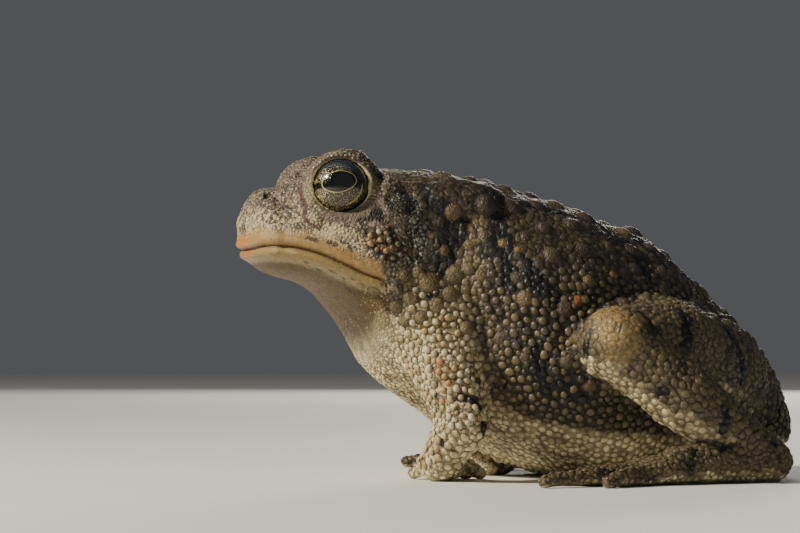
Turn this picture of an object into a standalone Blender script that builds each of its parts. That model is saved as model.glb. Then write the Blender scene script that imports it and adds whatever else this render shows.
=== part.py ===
"""American toad, life size, sitting with its head raised: the solids of a still museum model.

The toad faces -X, its left side is at -Y and it rests on the floor at Z = 0. Sizes are in millimetres
and are scaled to metres when a mesh is made. The flesh is one smooth field, a distance to the skin that
blends the trunk, limbs, glands and crests. Each named part is the share of that field which lies
nearest its own bones, made a mesh and thinned, with a thin gap to its neighbours. The left arm stands
forward and the right arm further back, and the rest of the toad is the same on both sides.
"""

import math

import bmesh
import bpy
import numpy as np
import openvdb
from mathutils import Matrix, Vector

MM = 0.001

# Outline of the trunk and head. Each line is (x, value) from the snout to the rump.
NOSE_X = -36.0
SNOUT_TIP_X = -40.4
CHIN_TIP_X = -38.8
RUMP_X = 38.0
VENT_X = 46.0
BACK = [
    (-36, 43.0), (-33.5, 43.7), (-30, 45.0), (-26, 45.9), (-20, 46.1), (-14, 45.8), (-8, 45.1), (-3, 44.3),
    (3, 42.6), (10, 40.6), (15.5, 38.4), (20.5, 37.1), (24, 35.1), (28, 31.6), (32, 28.0), (38, 22.3),
]
BELLY = [
    (-36, 30.6), (-34, 29.9), (-31, 29.1), (-28, 27.5), (-25, 24.0), (-22.6, 20.2), (-21, 16.9), (-19, 14.9),
    (-15.3, 12.1), (-10, 8.6), (-3, 4.4), (3, 1.6), (9, -0.2), (13, -0.9), (27, -0.9), (31, -0.3), (38, 3.2),
]
WIDEST_AT = [
    (-41, 35.3), (-37, 34.4), (-34, 33.5), (-28, 31.8), (-22, 29.8), (-17, 27.0), (-10, 23.0), (-2, 19.5),
    (8, 16.5), (20, 14.0), (30, 12.0), (38, 9.6), (46, 7.5),
]
HALF_WIDTH = [
    (-36, 10.7), (-34, 11.9), (-31, 13.3), (-27, 14.8), (-22, 16.0), (-17, 16.0), (-12, 16.6), (-6, 19.0),
    (1, 21.8), (7, 22.3), (14, 20.8), (22, 17.8), (30, 15.0), (38, 11.8),
]
SHAPE_CHANGE = 6.0
SQUARE_TOP = [(-36, 1.9), (-28, 2.3), (-20, 2.7), (-10, 2.6), (0, 2.3), (20, 2.1), (32, 1.9), (38, 1.6)]
SQUARE_BOTTOM = [(-36, 2.2), (-28, 2.0), (-20, 1.8), (-10, 1.9), (5, 2.3), (14, 2.7), (28, 2.6), (38, 2.0)]

# Line of the mouth seen from the side, where it ends, and how far the lips swell out above and below it
MOUTH = [
    (-42, 33.2), (-39.6, 33.7), (-38.2, 34.2), (-35.5, 34.1), (-32, 33.3), (-29.5, 32.3), (-27, 31.1),
    (-24.5, 29.9), (-21.5, 29.1), (-14, 28.6),
]
MOUTH_END_X = -21.8
LIP_SWELL = 0.42
LIP_OFFSET, LIP_SPREAD = 1.05, 0.75
GROOVE_DEPTH, GROOVE_SPREAD = 0.3, 0.5

# Plane behind the jaws where head and torso part
NECK_POINT = (-17.5, 0.0, 33.0)
NECK_NORMAL = (0.99, 0.0, -0.14)

# The eyes, as (x, y, z) on the +Y side, and the fleshy brow behind the top of each
EYE_CENTRE = (-27.2, 9.5, 42.75)
EYE_RADIUS = 4.5
EYE_AXIS = (-0.18, 0.97, 0.13)
ORBIT_RADIUS = 5.5
ORBIT_SINK = 0.4
EYE_OPENING = 4.0
SOCKET_GAP = 0.3
BROW, BROW_R = [(-26.6, 9.3, 47.5), (-24.5, 9.1, 47.2), (-22.7, 8.9, 45.9)], 0.9
NOSTRIL = (-37.0, 5.0, 41.4)
NOSTRIL_SIZE = (0.8, 0.6, 0.6)
NOSTRIL_TURN = 0.6

# Bony crests of the head on the +Y side: start, end, radius, and lift of the middle off the skull
CRESTS = [
    ((-33.2, 6.6, 42.8), (-36.8, 4.6, 42.0), 0.75, -0.35),
    ((-33.2, 6.6, 42.8), (-30.4, 5.3, 45.0), 0.9, 0.2),
    ((-30.4, 5.3, 45.0), (-22.9, 5.4, 46.0), 1.0, 0.3),
    ((-22.9, 5.4, 46.0), (-20.4, 12.0, 43.6), 1.0, 0.3),
    ((-20.4, 12.0, 43.6), (-16.2, 11.9, 42.8), 0.85, 0.15),
    ((-33.0, 7.2, 42.2), (-31.3, 11.6, 37.6), 0.75, -0.2),
]
EAR_CENTRE = (-19.0, 13.4, 40.2)
EAR_SINK = 0.8
EAR_SIZE = (2.8, 2.6, 1.6)
EAR_RIM = 0.42
EAR_RIM_LIFT = -0.12

# Parotoid gland behind the crests: middle, half sizes and depth of its middle in the skin
PAROTOID_CENTRE = (-10.2, 12.4, 41.6)
PAROTOID_SIZE = (7.4, 3.5, 2.7)
PAROTOID_SINK = 0.5

# Limb joints on the +Y side, each with the radius of its flesh, and how far back the right arm stands
SHOULDER, SHOULDER_R = (-14.0, 10.5, 24.5), 6.4
ELBOW, ELBOW_R = (-11.0, 18.8, 8.6), 3.3
FOREARM_MID, FOREARM_R = (-11.8, 16.8, 6.6), 3.3
WRIST, WRIST_R = (-12.4, 14.4, 4.6), 2.8
PALM, PALM_SIZE = (-12.8, 12.6, 2.4), (3.1, 3.4, 2.4)
ARM_BACK = 9.5
SHOULDER_BACK = 2.0
HIP, HIP_R = (30.0, 8.5, 14.6), 9.0
THIGH_MID, THIGH_R = (20.0, 18.0, 18.6), 8.0
KNEE, KNEE_R = (9.5, 26.3, 20.1), 5.2
CALF, CALF_R = (19.0, 28.4, 12.2), 4.8
HEEL, HEEL_R = (32.5, 27.0, 3.1), 3.2
INSTEP, INSTEP_R = (17.0, 31.0, 2.7), 2.7
SOLE, SOLE_SIZE = (13.8, 31.6, 2.0), (4.4, 3.5, 2.1)
WEB_SIZE = (6.2, 5.4, 0.7)
WEB_REACH = 6.5
WEB_SINK = 0.05
SPUR, SPUR_SIZE = (16.6, 29.0, 0.9), (1.7, 1.0, 1.0)

# Digits as heading in degrees from -X and length. A hand turns to the midline and a foot away from it.
FINGERS = [(162, 4.4), (134, 5.6), (106, 7.2), (76, 5.4)]
TOES = [(-40, 4.6), (-18, 7.2), (0, 11.0), (16, 16.5), (38, 10.0)]
FINGER_ROOT, TOE_ROOT = 2.4, 2.6
FINGER_ARCH, TOE_ARCH = 0.72, 0.63
DIGIT_R, DIGIT_TIP_R = 1.15, 0.95
DIGIT_ROOT_R, DIGIT_KNUCKLE_R = 1.265, 1.09
DIGIT_ROOT_Z, DIGIT_TIP_Z = 1.65, 0.83

# Fillet radii where one form flows into the next
BLEND_BONE = 1.1
BLEND_ORBIT = 1.8
BLEND_GLAND = 1.5
BLEND_EAR = 0.4
BLEND_ARM = 3.0
BLEND_LEG = 3.2
BLEND_FOLD = 1.0
BLEND_DIGIT = 0.9

GAP = 0.4
FLOOR_SNAP = 0.14
FAR = 30.0
SLOPE_STEP = 0.05
TINY = 1e-9

# Warts: height of the dome, depth of its middle, room below it and height off the floor, in its own radii
WART_HEIGHT = 0.62
WART_SINK = 0.25
WART_ROOM = 1.2
WART_INSIDE = 1.05
WART_OFF_FLOOR = 1.6
SEED = 7

# Rows of warts over the torso: first, end and step in x, then turn to each side and step in degrees
TORSO_ROWS = (-11.0, 42.0, 4.6)
TORSO_TURN, TORSO_SPACING = 96, 16

# Cluster of warts on each cheek, as y and (x, z)
CHEEK_Y = 15.2
CHEEK_WARTS = ((-23.2, 35.4), (-21.2, 36.0), (-22.2, 33.4), (-20.0, 34.2), (-20.6, 31.8), (-18.6, 32.6))

# Warts on the limbs: distance from the bone, rows, warts in a row, sizes. They start below the outer side.
LIMB_WARTS = {
    "upper_arm": (5.0, 3, 3, (0.8, 1.1)),
    "forearm": (4.0, 3, 4, (0.6, 0.85)),
    "thigh": (6.6, 4, 3, (0.95, 1.35)),
    "shank": (4.6, 4, 3, (0.8, 1.2)),
}
LIMB_WARTS_FROM, LIMB_WARTS_OVER = -40.0, 150.0

# Facets round and along each ball, and the angle in degrees from which an edge is sharp
WART_FACES = (6, 5)
EYE_FACES = (16, 10)
NOSTRIL_FACES = (8, 6)
SHARP_EDGE = 50.0


def line(points, samples=600):
    """A smooth line through (x, value) points that never overshoots them, as a function of x."""
    xs, ys = np.array(points, float).T
    steps = np.diff(xs)
    slopes = np.diff(ys) / steps
    tangents = np.empty_like(ys)
    tangents[0], tangents[-1] = slopes[0], slopes[-1]
    before, after = slopes[:-1], slopes[1:]
    same_way = before * after > 0
    safe = np.where(same_way, before + after, 1.0)
    tangents[1:-1] = np.where(same_way, 2 * before * after / safe, 0.0)
    fine = np.linspace(xs[0], xs[-1], samples)
    i = np.clip(np.searchsorted(xs, fine) - 1, 0, len(steps) - 1)
    t = (fine - xs[i]) / steps[i]
    values = (
        ys[i] * (2 * t**3 - 3 * t**2 + 1)
        + ys[i + 1] * (3 * t**2 - 2 * t**3)
        + steps[i] * (tangents[i] * (t**3 - 2 * t**2 + t) + tangents[i + 1] * (t**3 - t**2))
    )
    return lambda x: np.interp(x, fine, values)


back_line, belly_line = line(BACK), line(BELLY)
widest_line, width_line = line(WIDEST_AT), line(HALF_WIDTH)
square_top_line, square_bottom_line = line(SQUARE_TOP), line(SQUARE_BOTTOM)
mouth_line = line(MOUTH)


def unit(v):
    v = np.array(v, float)
    return v / np.linalg.norm(v)


def both_sides(p):
    """Points with the -Y side mirrored onto the +Y side."""
    q = p.copy()
    q[:, 1] = np.abs(q[:, 1])
    return q


def blend(a, b, radius):
    """The smaller of two distances, with a fillet of about that radius where they meet."""
    h = np.clip(0.5 + 0.5 * (b - a) / radius, 0.0, 1.0)
    return b * (1 - h) + a * h - radius * h * (1 - h)


def cone(p, start, end, r_start, r_end):
    """Distance to a limb segment that tapers from one ball to another."""
    start = np.array(start, float)
    along = np.array(end, float) - start
    t = np.clip((p - start) @ along / (along @ along), 0.0, 1.0)
    return np.linalg.norm(p - start - t[:, None] * along, axis=1) - (r_start + (r_end - r_start) * t)


def ellipsoid(p, centre, size, normal=None):
    """Distance, nearly, to an ellipsoid. With a normal, its third axis points that way."""
    q = p - np.array(centre, float)
    if normal is not None:
        third = unit(normal)
        first = unit(np.cross((0.0, 0.0, 1.0), third))
        q = q @ np.array([first, np.cross(third, first), third]).T
    size = np.array(size, float)
    outer = np.linalg.norm(q / size, axis=1)
    inner = np.linalg.norm(q / size**2, axis=1)
    return np.where(inner > TINY, outer * (outer - 1.0) / np.maximum(inner, TINY), -size.min())


def ring(p, centre, normal, radius, thickness):
    q = p - np.array(centre, float)
    height = q @ unit(normal)
    flat = np.sqrt(np.maximum((q**2).sum(1) - height**2, 0.0))
    return np.hypot(flat - radius, height) - thickness


def section_excess(p):
    """Below 0 inside the trunk and above 0 outside it, from the section at each x."""
    x = np.clip(p[:, 0], NOSE_X, RUMP_X)
    widest = widest_line(p[:, 0])
    middle = widest_line(x)
    height = np.where(p[:, 2] > widest, back_line(x) - middle, middle - belly_line(x))
    upper = np.clip(0.5 + (p[:, 2] - widest) / SHAPE_CHANGE, 0.0, 1.0)
    power = square_bottom_line(x) + upper * (square_top_line(x) - square_bottom_line(x))
    tip = CHIN_TIP_X + upper * (SNOUT_TIP_X - CHIN_TIP_X)
    past_nose = (NOSE_X - p[:, 0]) / (NOSE_X - tip)
    past_rump = (p[:, 0] - RUMP_X) / (VENT_X - RUMP_X)
    past = np.maximum(np.maximum(past_nose, past_rump), 0.0)
    total = (
        (np.abs(p[:, 1]) / width_line(x)) ** power
        + (np.abs(p[:, 2] - widest) / height) ** power
        + past**power
    )
    return total ** (1 / power) - 1.0


def trunk_core(p):
    here = section_excess(p)
    slope = np.sqrt(sum((section_excess(p + step) - here) ** 2 for step in np.eye(3) * SLOPE_STEP))
    return np.clip(here * SLOPE_STEP / np.maximum(slope, TINY), -FAR, FAR)


def core_normal(p):
    """Direction out of the plain trunk at each point."""
    steps = np.eye(3) * SLOPE_STEP
    slopes = np.stack([trunk_core(p + step) - trunk_core(p - step) for step in steps], axis=1)
    return slopes / np.maximum(np.linalg.norm(slopes, axis=1, keepdims=True), TINY)


def seated(point, lift=0.0):
    """The point moved onto the plain trunk's surface, then out by lift, with the normal there."""
    p = np.array([point], float)
    for _ in range(6):
        p = p - core_normal(p) * trunk_core(p)[:, None]
    normal = core_normal(p)[0]
    return p[0] + normal * lift, normal


def bump(distance, spread):
    return np.exp(-((distance / spread) ** 2))


def lips(p):
    """How far the skin swells out along the lips, less the groove of the mouth between them."""
    height = p[:, 2] - mouth_line(p[:, 0])
    rolls = LIP_SWELL * (bump(height - LIP_OFFSET, LIP_SPREAD) + bump(height + LIP_OFFSET, LIP_SPREAD))
    fade = np.clip((MOUTH_END_X - p[:, 0]) / 2.0 + 0.5, 0.0, 1.0)
    return fade * (rolls - GROOVE_DEPTH * bump(height, GROOVE_SPREAD))


ORBIT_CENTRE = np.array(EYE_CENTRE) - ORBIT_SINK * unit(EYE_AXIS)
CREST_CONES = [(seated(a, lift)[0], seated(b, lift)[0], radius) for a, b, radius, lift in CRESTS]
CREST_CONES += [(start, end, BROW_R) for start, end in zip(BROW, BROW[1:])]
EAR_RING, EAR_NORMAL = seated(EAR_CENTRE, EAR_RIM_LIFT)
EAR_MIDDLE = EAR_RING - EAR_SINK * EAR_NORMAL
PAROTOID_MIDDLE, PAROTOID_NORMAL = seated(PAROTOID_CENTRE, -PAROTOID_SINK)


def trunk(p):
    d = trunk_core(p) - lips(p)
    d = blend(d, np.linalg.norm(p - ORBIT_CENTRE, axis=1) - ORBIT_RADIUS, BLEND_ORBIT)
    for start, end, radius in CREST_CONES:
        d = blend(d, cone(p, start, end, radius, radius), BLEND_BONE)
    return blend(d, ring(p, EAR_RING, EAR_NORMAL, EAR_SIZE[0], EAR_RIM), BLEND_BONE)


def parotoid(p):
    return ellipsoid(p, PAROTOID_MIDDLE, PAROTOID_SIZE, PAROTOID_NORMAL)


def ear(p):
    return ellipsoid(p, EAR_MIDDLE, EAR_SIZE, EAR_NORMAL)


def heading(degrees, outward):
    """Flat unit vector at that many degrees from -X, turned outward (+Y) or inward."""
    a = math.radians(degrees)
    return np.array([-math.cos(a), math.sin(a) * (1 if outward else -1), 0.0])


def digits(p, d, root, arch, spread, outward, reach):
    """Adds a row of fingers or toes that fan out of a palm or sole and come down to the floor."""
    for degrees, length in spread:
        way = heading(degrees, outward)
        start = np.array(root, float) + way * reach
        start[2] = DIGIT_ROOT_Z
        tip = np.array(root, float) + way * (reach + length)
        tip[2] = DIGIT_TIP_Z
        knuckle = (start + tip) / 2
        knuckle[2] = DIGIT_R + arch
        near_half = cone(p, start, knuckle, DIGIT_ROOT_R, DIGIT_KNUCKLE_R)
        far_half = cone(p, knuckle, tip, DIGIT_KNUCKLE_R, DIGIT_TIP_R)
        d = blend(d, np.minimum(near_half, far_half), BLEND_DIGIT)
    return d


def arm_joints(side):
    """Shoulder, elbow, middle of the forearm, wrist and palm of one arm, on the +Y side."""
    back = ARM_BACK if side == 1 else 0.0
    shift = SHOULDER_BACK if side == 1 else 0.0
    shoulder = np.array(SHOULDER) + (shift, 0.0, 0.0)
    return [shoulder] + [np.array(joint) + (back, 0.0, 0.0) for joint in (ELBOW, FOREARM_MID, WRIST, PALM)]


def arm_of(p, side):
    shoulder, elbow, forearm, wrist, palm = arm_joints(side)
    d = cone(p, shoulder, elbow, SHOULDER_R, ELBOW_R)
    d = blend(d, cone(p, elbow, forearm, ELBOW_R, FOREARM_R), BLEND_FOLD)
    d = np.minimum(d, cone(p, forearm, wrist, FOREARM_R, WRIST_R))
    d = blend(d, cone(p, wrist, palm, WRIST_R, PALM_SIZE[2]), BLEND_FOLD)
    d = blend(d, ellipsoid(p, palm, PALM_SIZE), BLEND_FOLD)
    return digits(p, d, palm, FINGER_ARCH, FINGERS, False, FINGER_ROOT)


def side_by_side(p, function):
    """A function of mirrored points and their side, -1 or 1, worked out for points on both sides."""
    q = both_sides(p)
    right = p[:, 1] > 0
    result = np.empty(len(p))
    for side, chosen in ((-1, ~right), (1, right)):
        result[chosen] = function(q[chosen], side)
    return result


def leg(p):
    d = cone(p, HIP, THIGH_MID, HIP_R, THIGH_R)
    d = np.minimum(d, cone(p, THIGH_MID, KNEE, THIGH_R, KNEE_R))
    d = blend(d, cone(p, KNEE, CALF, KNEE_R * 0.9, CALF_R), BLEND_FOLD)
    d = np.minimum(d, cone(p, CALF, HEEL, CALF_R, HEEL_R))
    d = blend(d, cone(p, HEEL, INSTEP, HEEL_R, INSTEP_R), BLEND_FOLD)
    d = blend(d, ellipsoid(p, SOLE, SOLE_SIZE), BLEND_FOLD)
    d = blend(d, ellipsoid(p, SPUR, SPUR_SIZE), BLEND_DIGIT)
    web = np.array(SOLE, float) + heading(TOES[2][0], True) * WEB_REACH
    web[2] = WEB_SIZE[2] - WEB_SINK
    d = blend(d, ellipsoid(p, web, WEB_SIZE), BLEND_DIGIT)
    return digits(p, d, SOLE, TOE_ARCH, TOES, True, TOE_ROOT)


def distances(p):
    """Distance of each point to each group of flesh."""
    q = both_sides(p)
    found = {"trunk": trunk(q), "parotoid": parotoid(q), "ear": ear(q), "leg": leg(q)}
    found["arm"] = side_by_side(p, arm_of)
    return found


def flesh(found):
    """Distance to the whole toad's skin, cut level where it rests."""
    d = blend(found["trunk"], found["parotoid"], BLEND_GLAND)
    d = blend(d, found["ear"], BLEND_EAR)
    d = blend(d, found["arm"], BLEND_ARM)
    return blend(d, found["leg"], BLEND_LEG)


def skin(p):
    return flesh(distances(p))


def skin_normal(p):
    """Unit direction out of the skin at each point."""
    steps = np.eye(3) * SLOPE_STEP
    slopes = np.stack([skin(p + step) - skin(p - step) for step in steps], axis=1)
    return slopes / np.maximum(np.linalg.norm(slopes, axis=1, keepdims=True), TINY)


def onto_skin(p, rounds=4):
    for _ in range(rounds):
        p = p - skin_normal(p) * skin(p)[:, None]
    return p


def plane(p, point, normal):
    """Height above a plane given on the +Y side."""
    return (both_sides(p) - np.array(point, float)) @ unit(normal)


def bend_plane(joint, before, after):
    """Point and normal of the plane that halves a joint. The normal points to the limb before it."""
    joint = np.array(joint, float)
    return joint, unit(unit(np.array(before) - joint) - unit(np.array(after) - joint))


def elbow_cut(p):
    """Above the plane that halves each elbow."""

    def height(q, side):
        shoulder, elbow, _, wrist, _ = arm_joints(side)
        point, normal = bend_plane(elbow, shoulder, wrist)
        return (q - point) @ normal

    return side_by_side(p, height)


def wrist_cut(p):
    """Above the plane that halves each wrist."""

    def height(q, side):
        _, _, forearm, wrist, palm = arm_joints(side)
        point, normal = bend_plane(wrist, forearm, palm)
        return (q - point) @ normal

    return side_by_side(p, height)


KNEE_PLANE = bend_plane(KNEE, HIP, HEEL)
HEEL_PLANE = bend_plane(HEEL, CALF, INSTEP)
INSTEP_PLANE = (np.array(INSTEP), unit(np.array(HEEL) - np.array(INSTEP)))


def node_distance(group, cuts):
    """Field of one named part: flesh that is nearest its own group and on its side of each cut.

    Each cut is (function of points, side), and the part keeps the points where their product is above 0.
    """

    def distance(p):
        found = distances(p)
        rivals = np.min([found[name] for name in found if name != group], axis=0)
        d = np.maximum(flesh(found), found[group] - rivals + GAP)
        for cut, side in cuts:
            d = np.maximum(d, GAP / 2 - side * cut(p))
        return np.maximum(d, -p[:, 2])

    return distance


def eye_cut(p):
    """Above half a gap inside the round opening between the lids."""
    q = both_sides(p) - np.array(EYE_CENTRE)
    along = q @ unit(EYE_AXIS)
    across = np.sqrt(np.maximum((q**2).sum(1) - along**2, 0.0))
    return np.minimum(EYE_OPENING - across, along) - GAP / 2


def neck_cut(p):
    return plane(p, NECK_POINT, NECK_NORMAL)


def mouth_cut(p):
    return p[:, 2] - mouth_line(p[:, 0])


def knee_cut(p):
    return plane(p, *KNEE_PLANE)


def heel_cut(p):
    return plane(p, *HEEL_PLANE)


def instep_cut(p):
    return plane(p, *INSTEP_PLANE)


def side_cut(p):
    """Positive on the toad's left."""
    return -p[:, 1]


# Each part: group, cuts, box low and high, grid step and triangle target
NODES = {
    "torso": ("trunk", [(neck_cut, 1)], (-21, -25, -1), (49, 25, 48), 0.8, 1500),
    "head": (
        "trunk", [(neck_cut, -1), (mouth_cut, 1), (eye_cut, -1)], (-43, -19, 26), (-12, 19, 51), 0.45, 2500
    ),
    "lower_jaw": ("trunk", [(neck_cut, -1), (mouth_cut, -1)], (-43, -19, 12), (-15, 19, 36), 0.6, 620),
}

# Parts of one side, in the same form, with their boxes as they are on the left
PAIRED_NODES = {
    "parotoid": ("parotoid", [], (-19, -19, 35), (0, -5, 48), 0.4, 260),
    "ear": ("ear", [], (-23, -18, 36), (-15, -9, 44), 0.22, 150),
    "upper_arm": ("arm", [(neck_cut, 1), (elbow_cut, 1)], (-22, -30, 3), (-1, -3, 33), 0.5, 240),
    "forearm": ("arm", [(elbow_cut, -1), (wrist_cut, 1)], (-20, -28, 0), (-2, -7, 16), 0.4, 200),
    "hand": ("arm", [(wrist_cut, -1)], (-28, -22, -1), (-3, 0, 8), 0.3, 480),
    "thigh": ("leg", [(knee_cut, 1)], (-2, -35, 3), (42, -1, 31), 0.6, 360),
    "shank": ("leg", [(knee_cut, -1), (heel_cut, 1)], (-2, -36, -1), (37, -18, 27), 0.5, 280),
    "tarsus": ("leg", [(heel_cut, -1), (instep_cut, 1)], (12, -36, -1), (37, -20, 9), 0.4, 200),
    "foot": ("leg", [(instep_cut, -1)], (-11, -44, -1), (19, -24, 8), 0.35, 600),
}

SKIN_TAN = (0.30, 0.24, 0.16, 1.0)
SKIN_PALE = (0.52, 0.45, 0.31, 1.0)
SKIN_DARK = (0.10, 0.085, 0.07, 1.0)
EYE_DARK = (0.03, 0.025, 0.015, 1.0)


def material(name, colour, roughness):
    made = bpy.data.materials.new(name)
    made.use_nodes = True
    shader = made.node_tree.nodes["Principled BSDF"]
    shader.inputs["Base Color"].default_value = colour
    shader.inputs["Roughness"].default_value = roughness
    shader.inputs["Metallic"].default_value = 0.0
    return made


def new_object(name, mesh, collection):
    made = bpy.data.objects.new(name, mesh)
    collection.objects.link(made)
    return made


def evaluated_mesh(made):
    """The object's mesh with its modifiers applied, as a new mesh."""
    graph = bpy.context.evaluated_depsgraph_get()
    return bpy.data.meshes.new_from_object(made.evaluated_get(graph))


def polygonise(name, distance, low, high, step):
    """Mesh, in millimetres, of the surface where the field crosses zero."""
    low = np.array(low, float)
    counts = np.ceil((np.array(high, float) - low) / step).astype(int) + 1
    axes = [low[i] + step * np.arange(counts[i]) for i in range(3)]
    points = np.stack(np.meshgrid(*axes, indexing="ij"), axis=-1).reshape(-1, 3)
    field = distance(points).reshape(counts)
    grid = openvdb.FloatGrid(FAR)
    grid.copyFromArray(field.astype(np.float32))
    corners, triangles, quads = grid.convertToPolygons(0.0, 0.0)
    faces = [list(map(int, face)) for face in (*quads, *triangles)]
    mesh = bpy.data.meshes.new(name)
    mesh.from_pydata((corners * step + low).tolist(), [], faces)
    return mesh


def largest_body(mesh):
    """Keeps the biggest closed surface of a mesh, drops loose scraps and turns its faces outward."""
    shape = bmesh.new()
    shape.from_mesh(mesh)
    left, bodies = set(shape.verts), []
    while left:
        body, edge = set(), [left.pop()]
        while edge:
            vert = edge.pop()
            body.add(vert)
            for link in vert.link_edges:
                other = link.other_vert(vert)
                if other in left:
                    left.discard(other)
                    edge.append(other)
        bodies.append(body)
    keep = max(bodies, key=len)
    bmesh.ops.delete(shape, geom=[v for v in shape.verts if v not in keep], context="VERTS")
    bmesh.ops.recalc_face_normals(shape, faces=shape.faces)
    shape.to_mesh(mesh)
    shape.free()
    return mesh


def thinned(mesh, triangles, workshop):
    """The mesh with about that many triangles, its soles and belly level again."""
    helper = new_object("thinning", mesh, workshop)
    step = helper.modifiers.new("triangles", "TRIANGULATE")
    step.keep_custom_normals = False
    fewer = helper.modifiers.new("fewer", "DECIMATE")
    fewer.ratio = min(1.0, triangles / (2.0 * len(mesh.polygons)))
    result = evaluated_mesh(helper)
    bpy.data.objects.remove(helper)
    for vert in result.vertices:
        if vert.co.z < FLOOR_SNAP:
            vert.co.z = 0.0
    return result


def combine(mesh, others, operation, workshop):
    """The mesh joined to, or cut by, every object in a list. The objects are removed afterwards."""
    group = bpy.data.collections.new("operands")
    for other in others:
        group.objects.link(other)
    helper = new_object("joining", mesh, workshop)
    union = helper.modifiers.new("join", "BOOLEAN")
    union.operation = operation
    union.operand_type = "COLLECTION"
    union.collection = group
    union.solver = "EXACT"
    result = evaluated_mesh(helper)
    bpy.data.objects.remove(helper)
    for other in others:
        bpy.data.objects.remove(other)
    bpy.data.collections.remove(group)
    return result


def ball(name, centre, size, axis, segments, rings, workshop):
    """An ellipsoid whose third axis points along axis, as an object in the workshop."""
    shape = bmesh.new()
    bmesh.ops.create_uvsphere(shape, u_segments=segments, v_segments=rings, radius=1.0)
    turn = Vector(axis).to_track_quat("Z", "Y").to_matrix().to_4x4()
    place = Matrix.Translation(centre) @ turn @ Matrix.Diagonal((*size, 1.0))
    bmesh.ops.transform(shape, matrix=place, verts=shape.verts)
    mesh = bpy.data.meshes.new(name)
    shape.to_mesh(mesh)
    shape.free()
    return new_object(name, mesh, workshop)


def mirrored(point, side):
    """A point or direction given on the +Y side, on the side asked for."""
    return (point[0], point[1] * side, point[2])


def trunk_point(x, degrees):
    """Point on the trunk's section at x, at that many degrees from the top, positive towards +Y."""
    a = math.radians(degrees)
    top = math.cos(a) > 0
    middle = float(widest_line(x))
    height = float(back_line(x)) - middle if top else middle - float(belly_line(x))
    power = float(square_top_line(x) if top else square_bottom_line(x))
    across = abs(math.sin(a)) ** (2 / power) * float(width_line(x))
    up = abs(math.cos(a)) ** (2 / power) * height
    return (x, math.copysign(across, math.sin(a)), middle + (up if top else -up))


def limb_points(rng, start, end, radius, rows, spots, side):
    """Points round a limb segment, on its upper and outer sides."""
    start, end = np.array(mirrored(start, side)), np.array(mirrored(end, side))
    along = unit(end - start)
    out = unit(np.cross(along, (0.0, 0.0, 1.0))) * side
    out = out if out[1] * side > 0 else -out
    up = np.cross(along, out)
    up = up if up[2] > 0 else -up
    found = []
    for row in range(rows):
        for spot in range(spots):
            t = (row + 0.5 + rng.uniform(-0.25, 0.25)) / rows
            turn = (spot + 0.5 * (row % 2) + rng.uniform(-0.2, 0.2)) / spots
            a = math.radians(LIMB_WARTS_FROM + LIMB_WARTS_OVER * turn)
            found.append(start + (end - start) * t + radius * (out * math.cos(a) + up * math.sin(a)))
    return found


def trunk_warts(rng):
    """(point, radius) of the torso's warts: large ones in rows on the back, smaller ones down the flanks."""
    spots = []
    for row, x in enumerate(np.arange(*TORSO_ROWS)):
        for degrees in range(-TORSO_TURN, TORSO_TURN + 1, TORSO_SPACING):
            turn = degrees + TORSO_SPACING / 2 * (row % 2) + rng.uniform(-3.5, 3.5)
            flank = abs(turn) / TORSO_TURN
            radius = rng.uniform(1.25, 1.95) * (1.0 - 0.35 * flank)
            spots.append((trunk_point(x + rng.uniform(-0.9, 0.9), turn), radius))
    return spots


def head_warts(rng):
    """(point, radius) of the cluster on the cheek behind the mouth, the same on both sides."""
    return [((x, side * CHEEK_Y, z), rng.uniform(0.75, 1.05)) for side in (-1, 1) for x, z in CHEEK_WARTS]


def paired_warts(name, side, rng):
    """(point, radius) of the warts on one side's limb part."""
    if name not in LIMB_WARTS:
        return []
    shoulder, elbow, _, wrist, _ = arm_joints(side)
    ends = {
        "upper_arm": (shoulder, elbow),
        "forearm": (elbow, wrist),
        "thigh": (THIGH_MID, KNEE),
        "shank": (KNEE, HEEL),
    }
    radius, rows, spots, sizes = LIMB_WARTS[name]
    points = limb_points(rng, *ends[name], radius, rows, spots, side)
    return [(point, rng.uniform(*sizes)) for point in points]


def grow_warts(mesh, spots, group, cuts, workshop):
    """Fuses a dome into the mesh at each spot that lies well inside this part's own skin."""
    if not spots:
        return mesh
    points = onto_skin(np.array([point for point, _ in spots], float))
    normals = skin_normal(points)
    radii = np.array([radius for _, radius in spots])
    inside = node_distance(group, cuts)(points - normals * WART_ROOM * radii[:, None])
    domes = []
    for i in np.flatnonzero((inside < -WART_INSIDE * radii) & (points[:, 2] > WART_OFF_FLOOR * radii)):
        centre = points[i] - normals[i] * radii[i] * WART_SINK
        size = (radii[i], radii[i], radii[i] * WART_HEIGHT)
        domes.append(ball("wart", centre, size, normals[i], *WART_FACES, workshop))
    return combine(mesh, domes, "UNION", workshop)


def eye_ball(side, grow, name, workshop):
    radius = EYE_RADIUS + grow
    size = (radius, radius, radius)
    return ball(name, mirrored(EYE_CENTRE, side), size, mirrored(EYE_AXIS, side), *EYE_FACES, workshop)


def nostril_pit(side, workshop):
    place = onto_skin(np.array([mirrored(NOSTRIL, side)]))[0]
    return ball("nostril", place, NOSTRIL_SIZE, (0, side, NOSTRIL_TURN), *NOSTRIL_FACES, workshop)


def finish_node(name, mesh, finish, toad):
    """Scales a part's mesh to metres, shades it smooth and links it as a named object."""
    mesh = largest_body(mesh)
    mesh.transform(Matrix.Scale(MM, 4))
    mesh.materials.clear()
    mesh.materials.append(finish)
    mesh.shade_smooth()
    mesh.set_sharp_from_angle(angle=math.radians(SHARP_EDGE))
    mesh.name = name
    return new_object(name, mesh, toad)


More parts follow.
